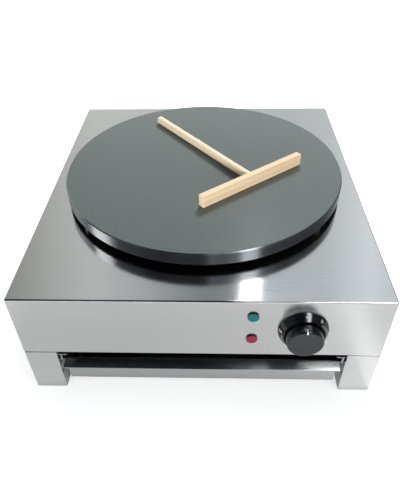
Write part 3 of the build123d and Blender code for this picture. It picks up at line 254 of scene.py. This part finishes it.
# The strip hangs in front of a dark card, which ends just to its right, where the wall behind glows
card = tones(tree, side, (0.375, "#ffffff"), (0.43, "#e6e6e6"), (0.465, "#c6c7c8"), (0.49, "#b3b5b7"),
             (0.515, "#b0b4b8"), (0.55, "#ffffff"))
high = add(tree, "MapRange", {"Value": arc.outputs[0], "From Min": 0.20, "From Max": 0.24},
           interpolation_type="SMOOTHSTEP")
seen = add(tree, "Mix", {0: high.outputs[0], 6: seen.outputs[2], 7: card}, data_type="RGBA",
           blend_type="MULTIPLY")
glow = tones(tree, side, (0.52, "#000000"), (0.545, "#c8d0d8"), (0.56, "#a0a6ac"), (0.60, "#000000"))
higher = add(tree, "MapRange", {"Value": arc.outputs[0], "From Min": 0.25, "From Max": 0.30})
seen = add(tree, "Mix", {0: higher.outputs[0], 6: seen.outputs[2], 7: glow}, data_type="RGBA",
           blend_type="ADD")
room = add(tree, "Background", {"Color": seen.outputs[2], "Strength": 1.35})
fill = add(tree, "Background", {"Color": colour("#ffffff"), "Strength": 0.29})
white = add(tree, "Background", {"Color": colour("#ffffff"), "Strength": 1.0})
light = add(tree, "MixShader", {0: mirrored, 1: fill.outputs[0], 2: room.outputs[0]})
light = add(tree, "MixShader", {0: from_camera, 1: light.outputs[0], 2: white.outputs[0]})
add(tree, "OutputWorld", {"Surface": light.outputs[0]})
bpy.context.scene.view_settings.view_transform = "Standard"
print("diffuse light comes at", fill.inputs["Strength"].default_value, "from all round")

# %% [markdown]
# ## Brushed stainless steel
# The housing, the legs and the drawer are austenitic stainless sheet with a No. 4 finish: an abrasive
# belt has left fine parallel scratches. They spread a reflection across themselves, so each highlight
# is drawn out at right angles to the brushing. An anisotropic metal does this: its Tangent says which
# way the scratches run. The blank is brushed along its width, so they run along X, and up and down on
# the folded sides. The same vector does both, because a shader uses only its part along the surface.
# Belt scratches are 0.05 to 0.1 mm wide; here they are drawn about 1 mm wide so that they can be seen.
# The front faces are wiped and handled most, so they are a little duller than the top. The drawer's
# sheet is duller again, and is drawn darker as painted shade from the housing's overhang.


# %% Brushed sheet
def scratches(tree, width_mm, length_mm, coords):
    """Noise drawn out along the brushing: along X, but along Z where the surface faces X."""
    wide, long = 1 / (width_mm * MM), 1 / (length_mm * MM)
    flat = add(tree, "Mapping", {"Vector": coords.outputs["Object"], "Scale": (long, wide, wide)})
    side = add(tree, "Mapping", {"Vector": coords.outputs["Object"], "Scale": (wide, wide, long)})
    facing = add(tree, "SeparateXYZ", {0: coords.outputs["Normal"]})
    turned = add(tree, "Math", {0: facing.outputs["X"]}, operation="ABSOLUTE")
    turned = add(tree, "Math", {0: turned.outputs[0], 1: 0.7}, operation="GREATER_THAN")
    lines = add(tree, "Mix", {0: turned.outputs[0], 4: flat.outputs[0], 5: side.outputs[0]},
                data_type="VECTOR")
    return add(tree, "TexNoise", {"Vector": lines.outputs[1], "Scale": 1.0, "Detail": 3.0,
                                  "Roughness": 0.6}).outputs["Fac"]


def brushed_sheet(name, dark, pale, smooth, rough, grain_depth_mm):
    """A brushed metal sheet: fine scratches in tone, gloss and relief, and faint clouds of handling."""
    made, tree = new_finish(name)
    coords = add(tree, "TexCoord")
    fine = scratches(tree, 0.7, 60, coords)
    broad = scratches(tree, 5, 400, coords)
    lines = add(tree, "Mix", {0: 0.3, 2: fine, 3: broad}, data_type="FLOAT")
    tone = tones(tree, lines.outputs[0], (0.3, dark), (0.7, pale))
    clouds = add(tree, "TexNoise", {"Vector": coords.outputs["Object"], "Scale": 9.0, "Detail": 2.0})
    mixed = add(tree, "Mix", {0: 0.35, 2: fine, 3: clouds.outputs["Fac"]}, data_type="FLOAT")
    gloss = add(tree, "MapRange", {"Value": mixed.outputs[0], "From Min": 0.3, "From Max": 0.7,
                                   "To Min": smooth, "To Max": rough})
    facing = add(tree, "SeparateXYZ", {0: coords.outputs["Normal"]})
    front = add(tree, "MapRange", {"Value": facing.outputs["Y"], "From Min": -0.7, "From Max": -0.95})
    gloss = add(tree, "Math", {0: front.outputs[0], 1: 0.07, 2: gloss.outputs[0]}, operation="MULTIPLY_ADD")
    relief = add(tree, "Bump", {"Height": fine, "Strength": 0.25, "Distance": grain_depth_mm * MM})
    brushing = add(tree, "CombineXYZ", {"X": 1.0, "Z": 0.02})
    metal = add(tree, "BsdfPrincipled", {
        "Base Color": tone, "Metallic": 1.0, "Roughness": gloss.outputs[0],
        "Anisotropic": 0.92, "Anisotropic Rotation": 0.25, "Tangent": brushing.outputs[0],
        "Normal": relief.outputs[0]})
    add(tree, "OutputMaterial", {"Surface": metal.outputs[0]})
    return made


brushed_stainless = brushed_sheet("brushed_stainless_no4", "#b7b8b8", "#c0c1c1", 0.085, 0.125, 0.002)
# Painted shade: the drawer's steel is darker than the housing's, where the housing's overhang shades it
drawer_stainless_painted_shade = brushed_sheet("brushed_stainless_drawer_painted_shade", "#a4a5a6", "#acadad", 0.15, 0.20, 0.002)
print(brushed_stainless.name, drawer_stainless_painted_shade.name)

# %% [markdown]
# ## Zinc-plated steel
# Screws, nuts, studs, the clamp and the heat pan are mild steel with a passivated zinc coat. Zinc is
# bluish and a little cloudy, and has no brushing, so its highlights are round. The clouds are crystals
# and handling marks, a few millimetres across. The screws under the housing, which its polished sheet
# mirrors, have the black coat. The spacers under the hotplate were plain once, and heat has stained them.


# %% Plain metals
def plain_metal(name, dark, pale, smooth, rough, cloud_mm):
    """A metal whose tone and gloss drift from place to place in patches of one size."""
    made, tree = new_finish(name)
    coords = add(tree, "TexCoord")
    patches = add(tree, "TexNoise", {"Vector": coords.outputs["Object"], "Scale": 1 / (cloud_mm * MM),
                                     "Detail": 4.0, "Roughness": 0.6})
    tone = tones(tree, patches.outputs["Fac"], (0.35, dark), (0.65, pale))
    gloss = add(tree, "MapRange", {"Value": patches.outputs["Fac"], "From Min": 0.35, "From Max": 0.65,
                                   "To Min": smooth, "To Max": rough})
    metal = add(tree, "BsdfPrincipled", {"Base Color": tone, "Metallic": 1.0,
                                         "Roughness": gloss.outputs[0]})
    add(tree, "OutputMaterial", {"Surface": metal.outputs[0]})
    return made


zinc_plate = plain_metal("passivated_zinc_plate", "#a9adb2", "#c4c8cc", 0.24, 0.40, 3.0)
black_zinc = plain_metal("black_passivated_zinc", "#1d1e20", "#2b2c2e", 0.30, 0.42, 3.0)
brass = plain_metal("turned_brass", "#b8964f", "#d2b26a", 0.20, 0.34, 4.0)
copper = plain_metal("drawn_copper_tube", "#a8664a", "#c98a68", 0.24, 0.42, 6.0)
heated_sheath = plain_metal("heat_stained_steel_sheath", "#4a443c", "#6a655e", 0.38, 0.55, 12.0)
print(zinc_plate.name, black_zinc.name, brass.name, copper.name, heated_sheath.name)

# %% [markdown]
# ## Coated cast hotplate
# The plate is cast, turned on a lathe and sprayed with a dark grey non-stick coating of the PTFE family,
# then baked. On the flat top the spray leaves a fine orange peel of about 1.5 mm and pale mineral flecks
# a few tenths of a millimetre across. Both are finer than the picture can hold, and would beat with its
# grid, so they are drawn at 4.3 and 2.3 mm. The coat is a plastic film of low index with a weak, broad
# shine. The turned rim takes so little of the spray that its own dark, heat-toned metal shows, so there
# the same finish is a metal with a narrower shine.

# %% Hotplate coating
hotplate_coating, tree = new_finish("sprayed_ptfe_coating")
coords = add(tree, "TexCoord")
facing = add(tree, "SeparateXYZ", {0: coords.outputs["Normal"]})
flat = add(tree, "MapRange", {"Value": facing.outputs["Z"], "From Min": 0.75, "From Max": 0.98})
flecks = add(tree, "TexNoise", {"Vector": coords.outputs["Object"], "Scale": 1 / (2.3 * MM), "Detail": 1.0,
                                "Roughness": 0.7})
peel = add(tree, "TexNoise", {"Vector": coords.outputs["Object"], "Scale": 1 / (4.3 * MM), "Detail": 0.0})
bake = add(tree, "TexNoise", {"Vector": coords.outputs["Object"], "Scale": 1 / (90 * MM), "Detail": 1.0})
tone = tones(tree, flecks.outputs["Fac"], (0.35, "#5b6362"), (0.72, "#626b6a"))
tone = add(tree, "Mix", {0: flat.outputs[0], 6: colour("#76797b"), 7: tone}, data_type="RGBA")
bare = add(tree, "MapRange", {"Value": flat.outputs[0], "To Min": 0.95, "To Max": 0.0})
dull = add(tree, "MapRange", {"Value": bake.outputs["Fac"], "From Min": 0.3, "From Max": 0.7,
                              "To Min": 0.27, "To Max": 0.33})
gloss = add(tree, "Mix", {0: flat.outputs[0], 2: 0.17, 3: dull.outputs[0]}, data_type="FLOAT")
relief = add(tree, "Bump", {"Height": peel.outputs["Fac"], "Strength": 0.3, "Distance": 0.03 * MM})
film = add(tree, "BsdfPrincipled", {"Base Color": tone.outputs[2], "Roughness": gloss.outputs[0],
                                    "Metallic": bare.outputs[0], "IOR": 1.4,
                                    "Normal": relief.outputs[0]})
add(tree, "OutputMaterial", {"Surface": film.outputs[0]})
print(hotplate_coating.name)

# %% [markdown]
# ## Beech
# The spreader is plain, unvarnished steamed beech. Beech is pale and even, with soft growth rings 1 to
# 3 mm apart and short dark flecks, its rays, lying along the grain. The grain of each piece runs along
# its length. A Mapping node turns the pattern to lie along the bar, and along the handle, which is
# drawn slightly paler than the bar.


# %% Beech
def beech(name, grain_degrees, dark, pale):
    """Wood whose grain lies level, at an angle from X: rings and rays are noise drawn out along it."""
    made, tree = new_finish(name)
    coords = add(tree, "TexCoord")
    along = add(tree, "Mapping", {"Vector": coords.outputs["Object"],
                                  "Rotation": (0, 0, math.radians(-grain_degrees))})
    rings = add(tree, "Mapping", {"Vector": along.outputs[0], "Scale": (1 / (160 * MM), 1 / (2.6 * MM),
                                                                        1 / (4.0 * MM))})
    rings = add(tree, "TexNoise", {"Vector": rings.outputs[0], "Scale": 1.0, "Detail": 3.0,
                                   "Distortion": 0.6})
    rays = add(tree, "Mapping", {"Vector": along.outputs[0], "Scale": (1 / (7 * MM), 1 / (0.7 * MM),
                                                                       1 / (0.7 * MM))})
    rays = add(tree, "TexNoise", {"Vector": rays.outputs[0], "Scale": 1.0, "Detail": 1.0})
    body = tones(tree, rings.outputs["Fac"], (0.32, dark), (0.62, pale))
    share = add(tree, "MapRange", {"Value": rays.outputs["Fac"], "From Min": 0.60, "From Max": 0.72,
                                  "To Min": 0.0, "To Max": 0.35})
    mixed = add(tree, "Mix", {0: share.outputs[0], 6: body, 7: colour("#cfab80")}, data_type="RGBA")
    relief = add(tree, "Bump", {"Height": rings.outputs["Fac"], "Strength": 0.4, "Distance": 0.05 * MM})
    wood = add(tree, "BsdfPrincipled", {"Base Color": mixed.outputs[2], "Roughness": 0.62, "IOR": 1.5,
                                        "Normal": relief.outputs[0]})
    add(tree, "OutputMaterial", {"Surface": wood.outputs[0]})
    return made


BAR_ANGLE = 38.0
beech_bar = beech("steamed_beech_bar", BAR_ANGLE, "#e9caa2", "#f4ddbb")
beech_handle = beech("steamed_beech_handle", BAR_ANGLE + 90, "#e8d1b0", "#f4e4ca")
print("the bar's grain lies", BAR_ANGLE, "degrees from X")

# %% [markdown]
# ## Black mouldings
# The dial ring is moulded in a polished tool and shines. The knob is the same black thermoset: its side
# is polished, while its face came from a spark-eroded tool face and is matt, with a grain of about
# 0.3 mm. The face is drawn a bluish dark grey instead of black: a painted sheen for the light that its
# grain scatters. The face is picked out by the way the surface points and by its distance from the
# spindle. The dial ring's crown is so slight, and its polish so even, that it mirrors a lamp as a plain
# cone would: one band from the foot of the slope to its lip. So its finish takes the direction of the
# cone wherever the face points nearly that way.


# %% Moulded plastics
def moulding(name, hex_value, smooth, rough, grain_mm, depth_mm, ior=1.5):
    """A plastic with the low waviness or grain of its mould, in gloss and relief."""
    made, tree = new_finish(name)
    coords = add(tree, "TexCoord")
    grain = add(tree, "TexNoise", {"Vector": coords.outputs["Object"], "Scale": 1 / (grain_mm * MM),
                                   "Detail": 2.0})
    gloss = add(tree, "MapRange", {"Value": grain.outputs["Fac"], "From Min": 0.3, "From Max": 0.7,
                                   "To Min": smooth, "To Max": rough})
    relief = add(tree, "Bump", {"Height": grain.outputs["Fac"], "Strength": 0.5,
                                "Distance": depth_mm * MM})
    plastic = add(tree, "BsdfPrincipled", {"Base Color": colour(hex_value), "IOR": ior,
                                           "Roughness": gloss.outputs[0], "Normal": relief.outputs[0]})
    add(tree, "OutputMaterial", {"Surface": plastic.outputs[0]})
    return made


polished_black = moulding("polished_black_thermoset", "#08080a", 0.08, 0.13, 6.0, 0.02)
black_nylon = moulding("black_nylon", "#1d1d1f", 0.42, 0.52, 0.8, 0.02)
foot_rubber = moulding("moulded_rubber", "#1b1b1c", 0.70, 0.85, 0.6, 0.03)
cream_moulding = moulding("cream_thermoset", "#d9d2c0", 0.40, 0.52, 1.5, 0.02)
glazed_ceramic = moulding("glazed_steatite", "#ebe5d6", 0.14, 0.26, 2.5, 0.02)
silicone_sleeve = moulding("silicone_sleeve", "#c9c3b2", 0.50, 0.62, 0.7, 0.03, ior=1.42)
print(polished_black.name, black_nylon.name, foot_rubber.name, cream_moulding.name)

# %% Dial ring
dial_low, dial_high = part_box("dial_ring")
DIAL_X, DIAL_Z = (dial_low.x + dial_high.x) / 2, (dial_low.z + dial_high.z) / 2
DIAL_BACK = dial_high.y
FOOT = np.array((30.0, 1.2)) * MM      # radius, and height above the panel, where the slope begins
LIP = np.array((25.2, 10.0)) * MM      # the same at the top of the slope
SLOPE = LIP - FOOT
SLOPE_LENGTH = float(np.hypot(*SLOPE))
OUTWARD = np.array((SLOPE[1], -SLOPE[0])) / SLOPE_LENGTH

dial_black, tree = new_finish("polished_black_dial")
coords = add(tree, "TexCoord")
outwards = add(tree, "VectorMath", {0: from_axis(tree, coords, DIAL_X, DIAL_Z)}, operation="NORMALIZE")
cone = add(tree, "VectorMath", {0: outwards.outputs[0], 1: (OUTWARD[0],) * 3, 2: (0, -OUTWARD[1], 0)},
           operation="MULTIPLY_ADD")
likeness = add(tree, "VectorMath", {0: cone.outputs[0], 1: coords.outputs["Normal"]},
               operation="DOT_PRODUCT")
share = add(tree, "MapRange", {"Value": likeness.outputs["Value"], "From Min": 0.80, "From Max": 0.87})
facing = add(tree, "Mix", {0: share.outputs[0], 4: coords.outputs["Normal"], 5: cone.outputs[0]},
             data_type="VECTOR")
grain = add(tree, "TexNoise", {"Vector": coords.outputs["Object"], "Scale": 1 / (6.0 * MM), "Detail": 2.0})
gloss = add(tree, "MapRange", {"Value": grain.outputs["Fac"], "From Min": 0.3, "From Max": 0.7,
                               "To Min": 0.10, "To Max": 0.15})
plastic = add(tree, "BsdfPrincipled", {"Base Color": colour("#08080a"), "IOR": 1.5,
                                       "Roughness": gloss.outputs[0], "Normal": facing.outputs[1]})
add(tree, "OutputMaterial", {"Surface": plastic.outputs[0]})
print("the dial's slope is", round(SLOPE_LENGTH / MM, 1), "mm long")

# %% Knob
knob_low, knob_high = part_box("control_knob")
KNOB_AXIS = Vector(((knob_low.x + knob_high.x) / 2, 0, (knob_low.z + knob_high.z) / 2))
KNOB_FACE_RADIUS = 19.3 * MM

knob_black, tree = new_finish("black_thermoset_knob")
coords = add(tree, "TexCoord")
radius = add(tree, "VectorMath", {0: from_axis(tree, coords, KNOB_AXIS.x, KNOB_AXIS.z)},
             operation="LENGTH")
inside = add(tree, "Math", {0: radius.outputs["Value"], 1: KNOB_FACE_RADIUS}, operation="LESS_THAN")
facing = add(tree, "SeparateXYZ", {0: coords.outputs["Normal"]})
front = add(tree, "Math", {0: facing.outputs["Y"], 1: -0.8}, operation="LESS_THAN")
face = add(tree, "Math", {0: inside.outputs[0], 1: front.outputs[0]}, operation="MULTIPLY")
grain = add(tree, "TexNoise", {"Vector": coords.outputs["Object"], "Scale": 1 / (0.3 * MM)})
# Painted sheen: the matt face is a lighter, bluish grey than the black side
tone = add(tree, "Mix", {0: face.outputs[0], 6: colour("#0b0b0e"), 7: colour("#14171e")}, data_type="RGBA")
gloss = add(tree, "MapRange", {"Value": face.outputs[0], "To Min": 0.16, "To Max": 0.5})
matt = add(tree, "Math", {0: face.outputs[0], 1: 0.4}, operation="MULTIPLY")
relief = add(tree, "Bump", {"Height": grain.outputs["Fac"], "Strength": matt.outputs[0],
                            "Distance": 0.02 * MM})
plastic = add(tree, "BsdfPrincipled", {"Base Color": tone.outputs[2], "IOR": 1.5,
                                       "Roughness": gloss.outputs[0], "Normal": relief.outputs[0]})
add(tree, "OutputMaterial", {"Surface": plastic.outputs[0]})
print("knob axis at x", round(KNOB_AXIS.x / MM, 1), "z", round(KNOB_AXIS.z / MM, 1), "mm")

# %% [markdown]
# ## Pilot-lamp lenses
# A lens is a cap of dyed polycarbonate. Its outside is polished and its inside is moulded with
# concentric prism rings, 0.9 mm apart, that spread the lamp's light. Unlit, the cap is a deep, clean
# colour with the rings just visible in it.


# %% Lenses
RING_PITCH = 0.9  # mm, between two of the prism rings


def lens(name, node, wall, deep, bright):
    """Dyed plastic whose tone rises and falls with the distance from the lens's axis, ring by ring. Its
    side wall is painted darkest, as painted shade for the dark lamp hollow seen through it."""
    low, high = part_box(node)
    made, tree = new_finish(name)
    coords = add(tree, "TexCoord")
    outwards = from_axis(tree, coords, (low.x + high.x) / 2, (low.z + high.z) / 2)
    radius = add(tree, "VectorMath", {0: outwards}, operation="LENGTH")
    turns = add(tree, "Math", {0: radius.outputs["Value"], 1: 2 * math.pi / (RING_PITCH * MM)},
                operation="MULTIPLY")
    rings = add(tree, "Math", {0: turns.outputs[0]}, operation="COSINE")
    share = add(tree, "MapRange", {"Value": rings.outputs[0], "From Min": -1.0, "From Max": 1.0})
    tone = add(tree, "Mix", {0: share.outputs[0], 6: colour(deep), 7: colour(bright)}, data_type="RGBA")
    facing = add(tree, "SeparateXYZ", {0: coords.outputs["Normal"]})
    front = add(tree, "MapRange", {"Value": facing.outputs["Y"], "From Min": -0.75, "From Max": -0.55,
                                   "To Min": 1.0, "To Max": 0.0})
    # Painted shade: the side wall takes the darkest colour, for the dark hollow seen through the clear wall
    tone = add(tree, "Mix", {0: front.outputs[0], 6: colour(wall), 7: tone.outputs[2]}, data_type="RGBA")
    dyed = add(tree, "BsdfPrincipled", {"Base Color": tone.outputs[2], "IOR": 1.38, "Roughness": 0.10})
    add(tree, "OutputMaterial", {"Surface": dyed.outputs[0]})
    return made


green_polycarbonate = lens("green_polycarbonate", "green_lens", "#00211c", "#004c4c", "#005a5a")
red_polycarbonate = lens("red_polycarbonate", "red_lens", "#33040d", "#6a1029", "#7c1832")
print(green_polycarbonate.name, red_polycarbonate.name)

# %% [markdown]
# ## Mineral-wool pad
# The pad under the elements is pressed rock wool: short fibres in all directions and matt. It is drawn
# a little darker in the hollows between them, as painted shade.

# %% Mineral wool
mineral_wool, tree = new_finish("pressed_mineral_wool")
coords = add(tree, "TexCoord")
fibres = add(tree, "TexNoise", {"Vector": coords.outputs["Object"], "Scale": 1 / (2.0 * MM), "Detail": 6.0,
                                "Roughness": 0.75, "Distortion": 2.0})
# Painted shade: the tone is darker where the fibres' relief is low
tone = tones(tree, fibres.outputs["Fac"], (0.35, "#9c9173"), (0.65, "#cfc6a8"))
relief = add(tree, "Bump", {"Height": fibres.outputs["Fac"], "Strength": 0.8, "Distance": 0.4 * MM})
wool = add(tree, "BsdfPrincipled", {"Base Color": tone, "Roughness": 0.95, "IOR": 1.45,
                                    "Normal": relief.outputs[0]})
add(tree, "OutputMaterial", {"Surface": wool.outputs[0]})
print(mineral_wool.name)

# %% [markdown]
# ## A finish for every solid
# The imported record says which finish each solid has by the name of its slot. A few solids look unlike
# the others in their slot: the handle's grain turns with it, some screws are black, the drawer's sheet
# is drawn darker with painted shade, the dial ring mirrors as a cone, and the spacers under the hotplate
# are stained. They are named one by one.

# %% Hand out the finishes
FINISHES = {
    "stainless": brushed_stainless, "plated_steel": zinc_plate, "rubber": foot_rubber,
    "cast_plate": hotplate_coating, "element_sheath": heated_sheath, "ceramic": glazed_ceramic,
    "mineral_wool": mineral_wool, "moulded_case": cream_moulding, "brass": brass, "copper": copper,
    "gloss_black": polished_black, "knob_black": knob_black, "green_lens": green_polycarbonate,
    "red_lens": red_polycarbonate, "lamp_case": polished_black, "gland_black": black_nylon,
    "lead_sleeve": silicone_sleeve, "beech": beech_bar,
}
APART = {
    "spreader_handle": beech_handle, "base_screws": black_zinc, "leg_screws": black_zinc,
    "dial_ring": dial_black, "drawer_front": drawer_stainless_painted_shade, "drawer_tray": drawer_stainless_painted_shade,
}
for corner in ("front_left", "front_right", "back_left", "back_right"):
    APART["plate_spacer_" + corner] = heated_sheath

for part in frame["record"]["subparts"]:
    solid = nodes[part["node"]]
    finish = APART.get(part["node"], FINISHES[part["material_slot"]])
    solid.data.materials.clear()
    solid.data.materials.append(finish)

# %% [markdown]
# ## Figures on the dial
# The temperatures, in degrees Celsius, are pad-printed in white on the sloping, slightly crowned face of
# the dial ring. Each one reads outwards, from the lip to the foot of the ring, and five dots follow each
# of them on the way to the next. Text made in the air would leave the crowned face, so the outlines of
# the figures are made flat first and each point is then laid on the face, where its place across the
# text is a place round the ring and its place along the text is a place up the slope.

# %% The dial's face
CROWN = 1.2 * MM                       # how far the middle of the slope stands out
INK = 0.04 * MM                        # thickness of the print


def on_dial(turn, share, lift):
    """A point of the ring's face: turn is the angle clockwise from the top, share runs from 0 at the
    foot to 1 at the lip, the crown adds 4 CROWN share (1 - share), and lift stands above the face."""
    bulge = 4 * CROWN * share * (1 - share) + lift
    across = FOOT + share[:, None] * SLOPE + bulge[:, None] * OUTWARD
    return np.column_stack((DIAL_X + across[:, 0] * np.sin(turn), DIAL_BACK - across[:, 1],
                            DIAL_Z + across[:, 0] * np.cos(turn)))


print("the crown stands out", round(CROWN / MM, 1), "mm")

# %% Printed pieces
white_ink, tree = new_finish("white_pad_printing_ink")
coords = add(tree, "TexCoord")
patchy = add(tree, "TexNoise", {"Vector": coords.outputs["Object"], "Scale": 1 / (0.8 * MM), "Detail": 2.0})
tone = tones(tree, patchy.outputs["Fac"], (0.3, "#d3d5d6"), (0.6, "#f2f3f3"))
ink = add(tree, "BsdfPrincipled", {"Base Color": tone, "Roughness": 0.45, "IOR": 1.5})
add(tree, "OutputMaterial", {"Surface": ink.outputs[0]})


def new_piece(name, points, faces, finish, body, slot):
    """A mesh object at the origin from arrays of points and faces, which rides on a CAD body."""
    mesh = bpy.data.meshes.new(name)
    mesh.from_pydata(points.tolist(), [], [list(f) for f in faces])
    mesh.materials.append(finish)
    mesh.update()
    piece = bpy.data.objects.new(name, mesh)
    bpy.context.scene.collection.objects.link(piece)
    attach(piece, body)
    return piece


def flat_text(words, height):
    """The filled outline of a word as points, in metres, and triangles. It is centred on the origin,
    and its capitals are as tall as height."""
    curve = bpy.data.curves.new("words", "FONT")
    curve.body, curve.size, curve.resolution_u = words, 1.0, 3
    holder = bpy.data.objects.new("words", curve)
    bpy.context.scene.collection.objects.link(holder)
    bpy.context.view_layer.update()
    shape = bpy.data.meshes.new_from_object(holder.evaluated_get(bpy.context.evaluated_depsgraph_get()))
    bpy.data.objects.remove(holder)
    shape.calc_loop_triangles()
    points = np.empty(len(shape.vertices) * 3)
    shape.vertices.foreach_get("co", points)
    points = points.reshape(-1, 3)[:, :2]
    triangles = np.empty(len(shape.loop_triangles) * 3, int)
    shape.loop_triangles.foreach_get("vertices", triangles)
    bpy.data.meshes.remove(shape)
    low, high = points.min(0), points.max(0)
    return (points - (low + high) / 2) * height / (high[1] - low[1]), triangles.reshape(-1, 3)


def disc(radius, sides=20):
    """A flat disc as points and triangles: its middle, and points at radius (cos t, sin t)."""
    turn = np.arange(sides) * 2 * math.pi / sides
    points = np.vstack(((0, 0), radius * np.column_stack((np.cos(turn), np.sin(turn)))))
    rim = np.arange(sides) + 1
    return points, np.column_stack((np.zeros(sides, int), rim, np.roll(rim, -1)))


def print_on_dial(shape, turn_degrees, share, outward_text=True):
    """Lays a flat shape on the ring, its middle at an angle and a share of the slope. Its x runs down
    the slope, outwards, and its y runs anticlockwise; otherwise its x runs clockwise and its y outwards.
    A wall one ink's thickness high closes the shape, so that the print is a thin solid."""
    points, triangles = shape
    out, round_ring = (points[:, 0], -points[:, 1]) if outward_text else (points[:, 1], points[:, 0])
    level = share - out / SLOPE_LENGTH
    radius = FOOT[0] + level * SLOPE[0]
    turn = math.radians(turn_degrees) + round_ring / radius
    zero = np.zeros(len(points))
    top, base = on_dial(turn, level, zero + INK), on_dial(turn, level, zero - INK)
    edges = np.vstack((triangles[:, (0, 1)], triangles[:, (1, 2)], triangles[:, (2, 0)]))
    known = set(map(tuple, edges.tolist()))
    rim = np.array([e for e in known if e[::-1] not in known])
    count = len(points)
    walls = np.column_stack((rim[:, 1], rim[:, 0], rim[:, 0] + count, rim[:, 1] + count))
    return np.vstack((top, base)), triangles.tolist() + (triangles[:, ::-1] + count).tolist() + walls.tolist()


def joined(parts):
    """Several (points, faces) pairs as one."""
    points, faces, start = [], [], 0
    for some_points, some_faces in parts:
        points.append(some_points)
        faces += [[i + start for i in face] for face in some_faces]
        start += len(some_points)
    return np.vstack(points), faces


print("ink", INK / MM, "mm thick")

# %% Temperatures and dots
FIRST_TURN, STEP_TURN = 39.8, 48.0     # degrees from the top to 50, and between two temperatures
DOT_TURN = 7.35                        # degrees from one dot to the next
LABELS = ("50", "100", "150", "200", "250", "300")
MARKS_BETWEEN, MARK_RADIUS = 5, 0.42 * MM
TALL, LOW, ZERO = 3.1 * MM, 2.8 * MM, 2.6 * MM    # figures of two- and three-figure numbers, and of 0
parts = []
for i, label in enumerate(LABELS):
    turn = FIRST_TURN + STEP_TURN * i
    height = TALL if len(label) == 2 else LOW
    parts.append(print_on_dial(flat_text(label, height), turn, 0.5))
    if i < len(LABELS) - 1:
        parts += [print_on_dial(disc(MARK_RADIUS), turn + DOT_TURN * (j + 1), 0.88)
                  for j in range(MARKS_BETWEEN)]
parts.append(print_on_dial(flat_text("0", ZERO), 0.0, 0.45, outward_text=False))
new_piece("dial_figures", *joined(parts), white_ink, "housing", "gloss_black")
print("printed:", 0, *LABELS, "degrees")

# %% [markdown]
# ## The knob's pointer
# A short white line runs over the edge of the knob, from its side to its face, and says where it is set.
# It is the knob's own profile, offset by the ink's thickness, and carried a little way round the knob.

# %% Pointer
KNOB_RADIUS, KNOB_FRONT_RADIUS, KNOB_START, KNOB_REACH, KNOB_EDGE = 22.4, 21.5, 5.0, 22.9, 2.2
POINTER_WIDTH = 1.3 * MM
POINTER_FOOT, POINTER_TIP = 17.5, 18.2  # where it starts, from the panel, and ends, from the knob's axis

# The side leans in towards the front, and a quarter turn of the edge's radius joins it to the face
lean = math.atan2(KNOB_RADIUS - KNOB_FRONT_RADIUS, KNOB_REACH - KNOB_START)
centre_height = KNOB_REACH - KNOB_EDGE
side_at = KNOB_FRONT_RADIUS + (KNOB_REACH - centre_height) * math.tan(lean)
centre_radius = side_at - KNOB_EDGE / math.cos(lean)
bend = np.linspace(lean, math.pi / 2, 9)
normals = np.vstack(((math.cos(lean), math.sin(lean)), np.column_stack((np.cos(bend), np.sin(bend))), (0, 1)))
profile = np.vstack(((KNOB_RADIUS - (POINTER_FOOT - KNOB_START) * math.tan(lean), POINTER_FOOT),
                     np.array((centre_radius, centre_height)) + KNOB_EDGE * normals[1:-1],
                     (POINTER_TIP, KNOB_REACH))) * MM
steps = np.linspace(-POINTER_WIDTH / 2, POINTER_WIDTH / 2, 4)


def on_knob(lift):
    """Points of the knob's surface, lifted: one row for each step across the pointer. The step x turns
    a point of radius r through the angle x / r, and the knob is at rest with the pointer at the top."""
    line = profile + lift * normals
    turn = steps[:, None] / line[:, 0]
    depth = np.broadcast_to(DIAL_BACK - line[:, 1], turn.shape)
    return np.stack((KNOB_AXIS.x + line[:, 0] * np.sin(turn), depth,
                     KNOB_AXIS.z + line[:, 0] * np.cos(turn)), axis=-1).reshape(-1, 3)


rows, columns = len(steps), len(profile)
index = np.arange(rows * columns).reshape(rows, columns)
quads = np.stack((index[:-1, :-1], index[:-1, 1:], index[1:, 1:], index[1:, :-1]), -1).reshape(-1, 4)
rim = np.concatenate((index[0, :-1], index[:-1, -1], index[-1, :0:-1], index[:0:-1, 0]))
count = rows * columns
walls = np.column_stack((rim + count, np.roll(rim, -1) + count, np.roll(rim, -1), rim))
new_piece("knob_pointer", np.vstack((on_knob(INK), on_knob(-INK))),
          quads.tolist() + (quads[:, ::-1] + count).tolist() + walls.tolist(),
          white_ink, "control", "knob_black")
print("the pointer is", POINTER_WIDTH / MM, "mm wide")
